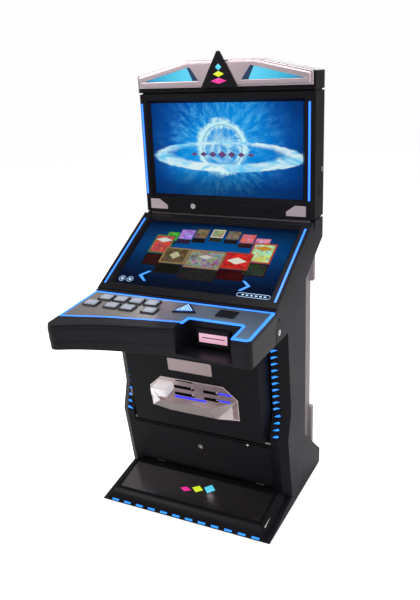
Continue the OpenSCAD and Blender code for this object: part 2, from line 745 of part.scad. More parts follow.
cap_top = 7;
module button(i) color([0.7, 0.72, 0.76]) placed() on_deck() at_button(i) {
  translate([0, 0, -8]) linear_extrude(cap_top + 6) rounded(cap_w, cap_d, 2);
  translate([0, 0, cap_top - 2.01]) linear_extrude(2.01) rounded(cap_w - 3, cap_d - 3, 2);
  translate([0, 0, -housing_h + 3 + travel + 0.3]) cylinder(d = 12, h = housing_h - 11 - travel);
}
module button_1() button(0);
module button_2() button(1);
module button_3() button(2);
module button_4() button(3);
module button_5() button(4);
module button_6() button(5);
module button_7() button(6);
module button_8() button(7);

module start_button() color([0.3, 0.5, 0.9]) placed() on_deck() at_start() {
  translate([0, 0, -8]) linear_extrude(cap_top + 6) circle(start_r, $fn = 3);
  translate([0, 0, -housing_h + 3 + travel + 0.3]) cylinder(d = 12, h = housing_h - 11 - travel);
}

module card_reader() color([0.02, 0.02, 0.02]) placed() on_deck() translate(reader_at) difference() {
  union() {
    translate([0, 0, -0.5]) linear_extrude(3.5) rounded(reader_w, reader_d, 2);
    translate([0, 0, -26]) linear_extrude(26) square([reader_w - 17, reader_d - 17], center = true);
  }
  translate([0, 0, -20]) linear_extrude(30) square([32, 4.5], center = true);
}

lens_w = 98;
lens_h = 30;
module note_acceptor() color([0.04, 0.04, 0.04]) placed() difference() {
  union() {
    // bezel, validator and note box behind it
    block(note_x - note_w / 2, note_x + note_w / 2, pocket_y - 8, pocket_y + 18, note_z - note_h / 2, note_z + note_h / 2);
    block(note_x - note_w / 2 - 8, note_x + note_w / 2 + 8, pocket_y + 18, deck_y - 6, note_z - 32, note_z + 30);
    block(note_x - note_w / 2 - 8, note_x + note_w / 2 + 8, deck_y - 6, deck_y + 120, note_z - 34, note_z + 40);
  }
  block(note_x - lens_w / 2, note_x + lens_w / 2, pocket_y - 9, pocket_y - 2, note_z - lens_h / 2, note_z + lens_h / 2);
  block(note_x - 42, note_x + 42, pocket_y - 9, pocket_y + 60, note_z - 3, note_z + 3);
}

module note_lens() color([1, 0.75, 0.8]) placed() difference() {
  block(note_x - lens_w / 2 + 0.3, note_x + lens_w / 2 - 0.3, pocket_y - 9, pocket_y - 2,
    note_z - lens_h / 2 + 0.3, note_z + lens_h / 2 - 0.3);
  block(note_x - 41, note_x + 41, pocket_y - 12, pocket_y, note_z - 3, note_z + 3);
}

/* ---- sloping lid ---- */

lid_mid = lid_len / 2 + 7.7;
lcd_w = screen_w + 2 * lcd_border;
lcd_h = screen_h + 2 * lcd_border;
strip_x = half - 17;

lid_strip_v = lid_len / 2 - 3;
lid_strip_len = lid_len - 60;
function lid_at(v, w) = [
  lid_y + v * cos(lid_slope) - w * sin(lid_slope),
  lid_z + v * sin(lid_slope) + w * cos(lid_slope)
];

module lid_frame() color([0.05, 0.05, 0.06]) placed() difference() {
  // the lower rear corner is bevelled, so that it turns clear of the side panels
  side_slab([
    [lid_y, lid_z], [lid_y, ledge_z + seam], [skirt_y(ledge_z), ledge_z + seam],
    lid_at(lid_pin_v, -lid_skirt), lid_at(lid_len, -lid_skirt + 4), lid_at(lid_len, 0)
  ], -half, half);
  on_lid() {
    translate([0, lid_mid, -lid_sink]) rotate([-90, 0, 0])
      flared(screen_w, screen_h, lid_sink + 0.01, lid_flare);
    // room for the glass, the display and its cover, open below
    translate([0, lid_mid, -lid_sink - 100]) linear_extrude(100) square([lcd_w + 1, lcd_h + 1], center = true);
    translate([-half + 24, 52, -lid_sink - 112]) cube([2 * half - 48, lid_len - 90, 100]);
    both_sides() translate([strip_x, lid_strip_v, -strip_d]) linear_extrude(10)
      square([strip_w + 0.6, lid_strip_len + 0.6], center = true);
    for (x = [-1, 1])
      translate([x * lid_lug_x - lid_lug_w / 2 - 0.5, lid_pin_v - 8, -62.5])
        cube([lid_lug_w + 1, 40, 60]);
  }
  hinge_bores();
}

module lid_light_strips() color([0.15, 0.5, 1]) placed() on_lid() both_sides()
  translate([strip_x, lid_strip_v, -strip_d]) linear_extrude(strip_d - 0.3)
    square([strip_w, lid_strip_len], center = true);

module lower_glass() color([0.1, 0.2, 0.5, 0.6]) placed() on_lid()
  translate([0, lid_mid, -lid_sink - glass_t]) linear_extrude(glass_t)
    square([lcd_w, lcd_h], center = true);

module display_panel() {
  linear_extrude(lcd_t) square([lcd_w, lcd_h], center = true);
}

module lower_display() color([0.1, 0.1, 0.12]) placed() on_lid()
  translate([0, lid_mid, -lid_sink - glass_t - lcd_t]) display_panel();

/* ---- upper box ---- */

neck = 8;
turn_bevel = 9;

// Room for the knuckles of the upper frame, cut in both halves of the box
module upper_hinge_room() {
  for (z = upper_hinge_z)
    block(-half - 1, upper_pin_x + knuckle_r + 0.5, case_front - 4.5, case_front + 4.5, z - 0.5, z + hinge_len + 0.5);
}

module upper_case() color([0.06, 0.06, 0.07]) placed() difference() {
  union() {
    difference() {
      union() {
        block(-half, half, case_front + seam, 0, upper_z, upper_top);
        block(-half + neck, half - neck, -upper_d + 24, -2, cab_h - 0.5, upper_z);
        // post under the sign
        block(-half + neck, half - neck, -upper_d + 26, -2, upper_top, sign_z);
      }
      block(-half + 12, half - 5, case_front - 1, -5, upper_z + 5, upper_top - 5);
      upper_hinge_room();
    }
    for (z = upper_hinge_z) {
      pin_z(upper_pin_x, upper_pin_y, z + hinge_len / 2 + 0.5, z + hinge_len, knuckle_r);
      block(upper_pin_x, -half + 12, case_front + 0.7, case_front + 5, z + hinge_len / 2 + 0.5, z + hinge_len);
    }
  }
  hinge_bores();
  // side slot, side lock and cable way down to the cabinet
  block(half - 20, half + 1, -54, -48, upper_z + 78, upper_z + 122);
  pin_x(half - 40, half + 1, case_lock_y, case_lock_z, lock_r + lock_fit);
  block(-60, 60, -50, -10, cab_h - 2, upper_z + 10);
}

// Recess with flared walls, wider at the front
module flared(w, h, d, f) {
  polyhedron(
    [for (k = [0, 1], s = [[-1, -1], [1, -1], [1, 1], [-1, 1]])
      [s[0] * (w / 2 + k * f), -k * d, s[1] * (h / 2 + k * f)]],
    [[0, 1, 2, 3], [7, 6, 5, 4], [0, 4, 5, 1], [1, 5, 6, 2], [2, 6, 7, 3], [3, 7, 4, 0]]
  );
}

module upper_door_frame() color([0.06, 0.06, 0.07]) placed() difference() {
  union() {
    difference() {
      // the rear edge on the hinge side is bevelled, so that it turns clear of the case
      translate([0, 0, upper_z]) linear_extrude(upper_h)
        polygon([
          [-half + turn_bevel, case_front], [-half, case_front - turn_bevel], [-half, -upper_d + edge_bevel + 4],
          [-half + edge_bevel, -upper_d], [half - edge_bevel, -upper_d],
          [half, -upper_d + edge_bevel + 4], [half, case_front]
        ]);
      upper_hinge_room();
    }
    for (z = upper_hinge_z) {
      pin_z(upper_pin_x, upper_pin_y, z, z + hinge_len / 2 - 0.5, knuckle_r);
      block(upper_pin_x, -half + 10, case_front - 4.5, case_front - 0.7, z, z + hinge_len / 2 - 0.5);
    }
  }
  translate([0, -upper_d + upper_sink, picture_z]) flared(screen_w, screen_h, upper_sink + 0.01, upper_flare);
  // seat of the glass and display, open to the rear
  block(-lcd_w / 2 - 0.5, lcd_w / 2 + 0.5, -upper_d + upper_sink, case_front + 1,
    picture_z - lcd_h / 2 - 0.5, picture_z + lcd_h / 2 + 0.5);
  // hollow lower rail
  block(-half + 20, half - 8, -upper_d + 12, case_front + 1, upper_z + 5, picture_z - lcd_h / 2 - 6);
  both_sides() block(strip_x - strip_w / 2 - 0.3, strip_x + strip_w / 2 + 0.3,
    -upper_d - 1, -upper_d + strip_d, picture_z - screen_h / 2 - 0.3, picture_z + screen_h / 2 + 0.3);
  hinge_bores();
  pin_y(door_lock_x, -upper_d - 1, -upper_d + 34, door_lock_z, lock_r + lock_fit);
  corner_plate_shapes(0.3);
}

module upper_glass() color([0.2, 0.5, 0.9, 0.6]) placed()
  block(-lcd_w / 2, lcd_w / 2, -upper_d + upper_sink + 0.02, -upper_d + upper_sink + glass_t,
    picture_z - lcd_h / 2, picture_z + lcd_h / 2);

module upper_display() color([0.1, 0.1, 0.12]) placed()
  block(-lcd_w / 2, lcd_w / 2, -upper_d + upper_sink + glass_t, -upper_d + upper_sink + glass_t + lcd_t,
    picture_z - lcd_h / 2, picture_z + lcd_h / 2);

module upper_light_strips() color([0.15, 0.5, 1]) placed() both_sides()
  block(strip_x - strip_w / 2, strip_x + strip_w / 2, -upper_d + 0.3, -upper_d + strip_d,
    picture_z - screen_h / 2, picture_z + screen_h / 2);

module corner_plate_shapes(grow) {
  both_sides() translate([0, -upper_d + 2, upper_z]) rotate([90, 0, 0]) linear_extrude(grow > 0 ? 5 : 2)
    polygon([
      [half - 28 + grow, 11 - grow], [half - 28 + grow, 49 + grow], [half - 68, 49 + grow],
      [half - 102 - grow, 26], [half - 102 - grow, 11 - grow]
    ]);
}
module corner_plates() color([0.8, 0.76, 0.78]) placed() corner_plate_shapes(0);

/* ---- top sign ---- */

sign_front = -(upper_d - 12);
function sign_outline(d) = [
  [-half + d, sign_z], [half - d, sign_z], [half - d, sign_z + sign_end_h - d / 3],
  [crown_w / 2 - d / 4, sign_z + sign_h - d], [-crown_w / 2 + d / 4, sign_z + sign_h - d],
  [-half + d, sign_z + sign_end_h - d / 3]
];

module sign_case() color([0.05, 0.05, 0.06]) placed() difference() {
  front_slab(sign_outline(0), sign_front, 0);
  front_slab(sign_outline(6), sign_front + 6, -6);
}

window_tip = half - 29;
window_foot = 83;
window_head = 117;
function window_outline(d) = [
  [window_foot + d * 1.2, sign_z + 38 + d], [window_tip - d * 5, sign_z + 38 + d],
  [window_head + d * 0.3, sign_z + 85 - d]
];

module sign_frame() color([0.82, 0.78, 0.8]) placed() difference() {
  union() {
    front_slab([
      [-half + 6, sign_z + 15], [half - 6, sign_z + 15], [half - 6, sign_z + sign_end_h],
      [crown_w / 2, sign_z + sign_h - 1], [-crown_w / 2, sign_z + sign_h - 1], [-half + 6, sign_z + sign_end_h]
    ], sign_front - 8, sign_front);
    front_slab([
      [-half + 16, sign_z + 22], [half - 16, sign_z + 22], [half - 16, sign_z + sign_end_h - 6],
      [crown_w / 2, sign_z + sign_h - 8], [-crown_w / 2, sign_z + sign_h - 8], [-half + 16, sign_z + sign_end_h - 6]
    ], sign_front - sign_frame_t, sign_front - 8);
  }
  both_sides() front_slab(window_outline(0), sign_front - sign_frame_t - 1, sign_front + 1);
}

module sign_windows() color([0.2, 0.75, 1]) placed() both_sides()
  front_slab(window_outline(0.4), sign_front - sign_frame_t + 6, sign_front);

module sign_plaque() color([0.02, 0.02, 0.02]) placed()
  front_slab([
    [-plaque_w / 2, sign_z + 14], [plaque_w / 2, sign_z + 14],
    [6, sign_z + 14 + plaque_h], [-6, sign_z + 14 + plaque_h]
  ], sign_front - sign_frame_t - 5, sign_front - sign_frame_t);

/* ---- doors ---- */

belly_h = (under_z - 3 - belly_z) / cos(belly_lean);
belly_top_y = -belly_y - (under_z - 3 - belly_z) * tan(belly_lean);
tray_top = 215;
tray_side = 168;
tray_low = 80;

// Outline of the tray opening in the door's own plane
function tray_outline(d) = [
  [-tray_w / 2 + d, tray_low + d], [tray_w / 2 - d, tray_low + d], [tray_w / 2 - d, tray_side - d / 2],
  [tray_w / 2 - 52 - d / 2, tray_top - d], [-tray_w / 2 + 52 + d / 2, tray_top - d], [-tray_w / 2 + d, tray_side - d / 2]
];

function belly_side(d) = [
  [-belly_y + d, belly_z + d], [belly_top_y + d, under_z - 3 - d],
  [-front_top_y - seam, under_z - 3 - d], [-knee_y - seam, knee_z],
  [-shin_y - seam, shin_z], [-shin_y - seam, belly_z + d]
];

belly_bevel_d = 30;
// Solid of the door, drawn in by d on its front and its edges
module belly_solid(d) {
  lift = unit([belly_bevel_d, belly_bevel]) * d;
  difference() {
    side_slab(concat([for (i = [0 : 1]) belly_side(d)[i]], d > 0 ? [
      [-front_top_y + 20, under_z - 3 - d], [-knee_y + 20, knee_z],
      [-shin_y + 20, shin_z], [-shin_y + 20, belly_z + d]
    ] : [for (i = [2 : 5]) belly_side(0)[i]]), -belly_w / 2 + d, belly_w / 2 - d);
    on_belly() both_sides() translate([belly_w / 2 - lift[0], belly_h + 20, -lift[1]]) rotate([90, 0, 0])
      linear_extrude(belly_h + 60) polygon([
        [-belly_bevel * 1.2, belly_bevel_d * 0.2], [belly_bevel * 0.2, -belly_bevel_d * 1.2],
        [40, -belly_bevel_d * 1.2], [40, belly_bevel_d * 0.2]
      ]);
  }
}

module belly_door() color([0.05, 0.05, 0.06]) placed() difference() {
  union() {
    difference() {
      belly_solid(0);
      belly_solid(door_t);
    }
    for (z = belly_hinge_z) {
      pin_z(belly_pin_x, belly_pin_y, z, z + hinge_len / 2 - 0.5, knuckle_r);
      block(belly_pin_x, -belly_w / 2 + 1, belly_pin_y - 2, belly_pin_y + 2, z, z + hinge_len / 2 - 0.5);
    }
  }
  hinge_bores();
  on_belly() translate([0, 0, -40]) linear_extrude(60) polygon(tray_outline(-0.5));
  on_belly() translate([0, plate_at, -1.5]) linear_extrude(10) rounded(176, 52, 5);
}

plate_at = 276;
module door_plate() color([0.7, 0.66, 0.62]) placed() on_belly()
  translate([0, plate_at, -1.5]) linear_extrude(2) rounded(175, 51, 5);

// Bowl of the tray in front of the door; inner draws it in by the wall and leaves it open above
tray_wall = 3;
tray_rim = tray_side - 6;
module tray_bowl(inner) {
  rise = (tray_out - tray_foot) / (tray_rim - tray_low);
  levels = inner ? [tray_low + tray_wall, tray_rim + 1] : [tray_low, tray_rim];
  reach = [for (y = levels) tray_foot + (y - tray_low) * rise - (inner ? tray_wall : 0)];
  side = tray_w / 2 - (inner ? tray_wall : 0);
  mid = tray_mid / 2 - (inner ? tray_wall / 2 : 0);
  back = inner ? -4 : -2;
  polyhedron(
    [for (k = [0, 1], i = [0 : 3])
      [[-side, levels[k], back], [-mid, levels[k], reach[k]], [mid, levels[k], reach[k]], [side, levels[k], back]][i]],
    [[0, 1, 2, 3], [7, 6, 5, 4], [0, 4, 5], [0, 5, 1], [1, 5, 6, 2], [2, 6, 7], [2, 7, 3], [3, 7, 4, 0]]
  );
}

tray_depth = 40;
module coin_tray() color([0.72, 0.66, 0.6]) placed() on_belly() {
  difference() {
    union() {
      translate([0, 0, -tray_depth]) linear_extrude(tray_depth) polygon(tray_outline(0));
      tray_bowl(false);
    }
    translate([0, 0, -tray_depth + 2]) linear_extrude(tray_depth) polygon(tray_outline(tray_wall));
    tray_bowl(true);
    // payout slots
    for (x = [-58, 52], y = [122, 152])
      translate([x, y, -tray_depth - 1]) linear_extrude(4) square([x < 0 ? 70 : 44, 9], center = true);
  }
  // coin guide
  translate([-tray_w / 2 + 14, tray_low + 60, -tray_depth + 2]) cube([62, 30, 60]);
}

function cheek_face_y(z) = -ankle_y - cheek_out - (z - ankle_z) * tan(cash_lean);

cash_skirt = 3;
module cash_door() color([0.05, 0.05, 0.06]) placed() difference() {
  union() {
    // front plate, its raised middle and the stiff inner part between the cheeks
    for (k = [[cash_skirt, 0, 3.5, 0.5], [-3, 8, 6.5, 3.5]])
      side_slab([
        [cheek_face_y(cash_z - k[0]) - k[2], cash_z - k[0]], [cheek_face_y(cash_top - k[1]) - k[2], cash_top - k[1]],
        [cheek_face_y(cash_top - k[1]) - k[3], cash_top - k[1]], [cheek_face_y(cash_z - k[0]) - k[3], cash_z - k[0]]
      ], -cash_w / 2 + k[1], cash_w / 2 - k[1]);
    side_slab([
      [cheek_face_y(cash_z) - 1, cash_z], [cheek_face_y(cash_top) - 1, cash_top],
      [cheek_face_y(cash_top) + 11, cash_top], [cheek_face_y(cash_z) + 11, cash_z]
    ], -cheek_x + 8, cheek_x - 8);
    for (x = [-1, 1]) translate([x * cash_hinge_x, 0, 0]) {
      pin_x(-hinge_len / 2, -0.5, cash_pin_y, cash_pin_z, knuckle_r);
      block(-hinge_len / 2, -0.5, cash_pin_y - 3, cash_pin_y + 3, cash_pin_z, cash_z + 2);
    }
  }
  hinge_bores();
  on_cash() translate([cash_lock_x, cash_lock_v, -20]) cylinder(r = lock_r + lock_fit, h = 40);
}

module rear_door() color([0.62, 0.62, 0.65]) placed() difference() {
  union() {
    block(-rear_door_x + rear_turn, rear_door_x - 1, -rear_t - 1, core_back, rear_door_z0, rear_door_z1);
    for (z = rear_hinge_z) {
      pin_z(rear_pin_x, rear_pin_y, z, z + hinge_len / 2 - 0.5, 3.5);
      block(rear_pin_x, -rear_door_x + rear_turn + 1, rear_pin_y - 3, rear_pin_y + 1, z, z + hinge_len / 2 - 0.5);
    }
  }
  block(-rear_door_x + rear_turn + 3, rear_door_x - 4, -rear_t - 2, core_back - 2, rear_door_z0 + 3, rear_door_z1 - 3);
  hinge_bores();
}

/* ---- inside ---- */

cash_box_w = 300;
module cash_box() color([0.35, 0.36, 0.38]) placed() difference() {
  block(-cash_box_w / 2, cash_box_w / 2, -318, -60, floor_gap + 5 + core_t, 240);
  block(-cash_box_w / 2 + 3, cash_box_w / 2 - 3, -315, -63, floor_gap + 8 + core_t, 241);
}

hopper_x = -20;
hopper_z = shelf_z + core_t;
module hopper() color([0.25, 0.26, 0.3]) placed() difference() {
  union() {
    block(hopper_x - 90, hopper_x + 90, -300, -120, hopper_z, hopper_z + 60);
    block(hopper_x - 90, hopper_x + 90, -300, -120, hopper_z + 60, hopper_z + 190);
  }
  block(hopper_x - 86, hopper_x + 86, -296, -124, hopper_z + 72, hopper_z + 191);
  translate([hopper_x, -210, hopper_z + 58]) cylinder(r = 72, h = 40);
  translate([hopper_x, -210, hopper_z + 30]) cylinder(r = 6.05, h = 60);
}
module hopper_disc() color([0.8, 0.8, 0.82]) placed() translate([hopper_x, -210, hopper_z + 58.5]) difference() {
  union() {
    cylinder(r = 71, h = 8);
    translate([0, 0, -20]) cylinder(r = 6, h = 24);
  }
  for (a = [0 : 60 : 300]) rotate([0, 0, a]) translate([46, 0, -1]) cylinder(r = 14, h = 20);
}

module logic_box() color([0.5, 0.5, 0.52]) placed() difference() {
  block(-core_x + core_t, -core_x + core_t + 90, -300, -60, 540, 780);
  block(-core_x + core_t + 3, -core_x + core_t + 87, -297, -63, 543, 777);
}
module power_supply() color([0.7, 0.7, 0.7]) placed()
  block(core_x - core_t - 90, core_x - core_t, -180, -40, hopper_z, hopper_z + 80);

speaker_x = 205;
speaker_z = deck_h + 70;
module speakers() color([0.1, 0.1, 0.1]) placed() both_sides() {
  block(speaker_x - 60, speaker_x + 60, -90, -core_t - 1, speaker_z - 60, speaker_z + 60);
}

fan_d = 116;
fan_x = 0;
fan_z = deck_h + 40;
module fan_frame() color([0.1, 0.1, 0.1]) placed() translate([fan_x, -core_t - 1, fan_z]) rotate([90, 0, 0]) {
  difference() {
    translate([-60, -60, 0]) cube([120, 120, 25]);
    translate([0, 0, -1]) cylinder(d = fan_d, h = 27);
  }
  translate([0, 0, 21]) difference() {
    union() {
      cylinder(r = 20, h = 4);
      for (a = [45 : 90 : 315]) rotate([0, 0, a]) translate([0, -3, 0]) cube([62, 6, 4]);
    }
    translate([0, 0, -1]) cylinder(r = 3.06, h = 6);
  }
}
module fan_rotor() color([0.15, 0.15, 0.15]) placed() translate([fan_x, -core_t - 1, fan_z]) rotate([90, 0, 0]) {
  translate([0, 0, 4]) cylinder(r = 20, h = 15);
  translate([0, 0, 18]) cylinder(r = 3, h = 7);
  for (a = [0 : 51.43 : 359]) rotate([0, 0, a]) translate([18, 0, 11]) rotate([35, 0, 0])
    translate([0, -12, -1]) cube([36, 24, 2]);
}

inlet_x = 200;
inlet_z = 34;
inlet_w = 48;
inlet_h = 28;
module mains_inlet() color([0.05, 0.05, 0.05]) placed() difference() {
  block(inlet_x - inlet_w / 2, inlet_x + inlet_w / 2, -40, -1, inlet_z - inlet_h / 2, inlet_z + inlet_h / 2);
  block(inlet_x - 12, inlet_x + 12, -22, 1, inlet_z - 8, inlet_z + 8);
}

/* ---- locks ---- */

door_lock_x = -132;
door_lock_z = upper_z + 27;
case_lock_y = -16;
case_lock_z = upper_z + 167;

cash_lock_x = -3;
cash_lock_v = (cash_top - cash_z) * 0.64;

// Lock barrel with a cam on its inner end, head at the origin, barrel along -Z
module lock(barrel, cam) {
  difference() {
    translate([0, 0, -barrel]) cylinder(r = lock_r, h = barrel);
    translate([-1, -4, -3]) cube([2, 8, 4]);
  }
  translate([-5, -5, -barrel - 3]) cube([10, 5 + cam, 3]);
}

module door_lock() color([0.8, 0.8, 0.82]) placed()
  translate([door_lock_x, -upper_d, door_lock_z]) rotate([90, 0, 0]) lock(32, 10);
module deck_lock() color([0.8, 0.8, 0.82]) placed()
  translate([half, panel_hole_y, lower_lock_z]) rotate([0, 90, 0]) lock(22, 20);
module case_lock() color([0.8, 0.8, 0.82]) placed()
  translate([half, case_lock_y, case_lock_z]) rotate([0, 90, 0]) lock(16, 8);
module cash_lock() color([0.8, 0.8, 0.82]) placed() on_cash()
  translate([cash_lock_x, cash_lock_v, 6.5]) lock(21, 10);

core_shell();
left_side_panel();
right_side_panel();
left_cheek();
right_cheek();
cheek_lights();
plinth();
kick_plate();
toe_lights();
levelling_feet();
deck_upper_shell();
deck_lower_shell();
deck_plate();
deck_light_strip();
button_housings();
button_1();
button_2();
button_3();
button_4();
button_5();
button_6();
button_7();
button_8();
start_button();
card_reader();
note_acceptor();
note_lens();
lid_frame();
lower_display();
lower_glass();
lid_light_strips();
upper_case();
upper_door_frame();
upper_display();
upper_glass();
upper_light_strips();
corner_plates();
sign_case();
sign_frame();
sign_windows();
sign_plaque();
belly_door();
door_plate();
coin_tray();
cash_door();
cash_lock();
cash_box();
hopper();
hopper_disc();
logic_box();
power_supply();
speakers();
fan_frame();
fan_rotor();
rear_door();
mains_inlet();
door_lock();
deck_lock();
case_lock();
hinge_pins();
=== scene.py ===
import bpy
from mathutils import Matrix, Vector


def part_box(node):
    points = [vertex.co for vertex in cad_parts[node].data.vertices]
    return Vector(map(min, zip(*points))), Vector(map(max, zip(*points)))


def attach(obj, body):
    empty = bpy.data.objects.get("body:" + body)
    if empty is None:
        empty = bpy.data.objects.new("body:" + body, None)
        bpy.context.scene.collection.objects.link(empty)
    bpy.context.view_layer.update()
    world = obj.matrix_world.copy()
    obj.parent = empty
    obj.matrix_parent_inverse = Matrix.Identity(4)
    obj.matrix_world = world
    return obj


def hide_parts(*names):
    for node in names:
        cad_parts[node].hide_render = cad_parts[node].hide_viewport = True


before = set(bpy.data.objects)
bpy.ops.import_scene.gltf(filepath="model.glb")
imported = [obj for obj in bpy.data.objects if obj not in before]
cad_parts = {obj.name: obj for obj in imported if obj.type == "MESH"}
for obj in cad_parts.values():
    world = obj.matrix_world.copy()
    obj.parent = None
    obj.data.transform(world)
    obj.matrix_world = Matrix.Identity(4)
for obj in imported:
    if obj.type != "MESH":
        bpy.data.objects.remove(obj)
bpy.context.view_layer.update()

import math

import bpy
import bmesh
from mathutils import Matrix, Vector

bl_info = {
    "name": "Twin-screen amusement machine",
    "version": (1, 0, 0),
    "blender": (4, 5, 0),
    "location": "3D View > Sidebar > Machine",
    "description": "Finishes and detail pieces for a twin-screen amusement machine",
    "category": "Object",
}

MM = 0.001

# Planes of the machine, placed from the frame.
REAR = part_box("sign_case")[1].y
LID_SLOPE = math.radians(29.4)
DECK_SLOPE = math.radians(4.56)
BELLY_LEAN = math.radians(8)
CASH_LEAN = math.radians(9.21)
FOOT_LEAN = math.atan2(28, 138)
LID = Vector((0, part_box("lid_frame")[0].y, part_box("lid_frame")[0].z + 3 * MM))
DECK = LID - Vector((0, 10 * MM, 7.5 * MM))
BELLY = Vector((0, REAR - 410 * MM, 294 * MM))
CASH = Vector((0, REAR - 363.1 * MM, 96 * MM))
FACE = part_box("upper_door_frame")[0].y
UPPER_PICTURE = (Vector(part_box("upper_display")[0]) + Vector(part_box("upper_display")[1])) / 2

# Middle of the burst of light, in mm from the middle of the upper picture.
BURST_X, BURST_Z = -12, 10
# Lower picture, in mm up the lid's slope and above its top.
PICTURE_FOOT, PICTURE_HEIGHT = 44.7, 336
PICTURE_LEVEL = -15.85
# Long light strips, in mm out from the middle of the machine.
STRIP_MIDDLE = 327.2
# Back wall of the coin tray, in mm above the belly door's face.
TRAY_BACK = -37.6


def tilted(origin, angle):
    """A plane through origin that leans by angle about X."""
    return Matrix.Translation(origin) @ Matrix.Rotation(angle, 4, "X")


def shift(x, y, z=0.0):
    """A move by millimetres along a plane's own directions."""
    return Matrix.Translation((x * MM, y * MM, z * MM))


def upright(y):
    """Front view plane at depth y: its x is X, its y is Z and it faces the player."""
    return tilted((0, y, 0), math.pi / 2)


ON_LID = tilted(LID, LID_SLOPE)
ON_DECK = tilted(DECK, DECK_SLOPE)
ON_BELLY = tilted(BELLY, math.pi / 2 + BELLY_LEAN)
ON_CASH = tilted(CASH, math.pi / 2 + CASH_LEAN)

# ---- properties ----


class MachineSizes(bpy.types.PropertyGroup):
    soft_edge: bpy.props.FloatProperty(
        name="Soft edge", description="Radius of the moulded edges of the deck",
        default=2.2 * MM, unit="LENGTH",
    )
    sheet_edge: bpy.props.FloatProperty(
        name="Sheet edge", description="Radius of the edges of painted sheet metal",
        default=0.9 * MM, unit="LENGTH",
    )
    fine_edge: bpy.props.FloatProperty(
        name="Fine edge", description="Radius of the edges of small parts",
        default=0.4 * MM, unit="LENGTH",
    )


def tint(label, words, value):
    return bpy.props.FloatVectorProperty(
        name=label, description=words, default=value, subtype="COLOR", size=3, min=0, max=1
    )


class MachineColours(bpy.types.PropertyGroup):
    paint: tint("Paint", "Black powder coat of the sheet metal", (0.0058, 0.0052, 0.0072))
    laminate: tint("Laminate", "Black laminate of the side panels", (0.015, 0.0125, 0.0175))
    moulding: tint("Moulding", "Black plastic of the deck", (0.0075, 0.0068, 0.0095))
    core: tint("Core", "Grey paint of the steel core", (0.33, 0.30, 0.315))
    bright: tint("Bright metal", "Metal of the sign and the corner plates", (0.72, 0.6, 0.645))
    steel: tint("Steel", "Brushed steel of the deck and the foot", (0.52, 0.485, 0.475))
    cap: tint("Button caps", "Plastic of the play buttons", (0.36, 0.40, 0.47))
    azure: tint("Light strips", "Glow of the light strips", (0.03, 0.19, 0.95))
    cyan: tint("Sign light", "Glow of the sign windows", (0.10, 0.66, 0.95))
    pink: tint("Note light", "Glow of the note slot", (1.0, 0.50, 0.66))


def sizes():
    return bpy.context.scene.machine_sizes


def colours():
    return bpy.context.scene.machine_colours


def rgba(colour, gain=1.0):
    return (colour[0] * gain, colour[1] * gain, colour[2] * gain, 1.0)


# ---- finishes ----


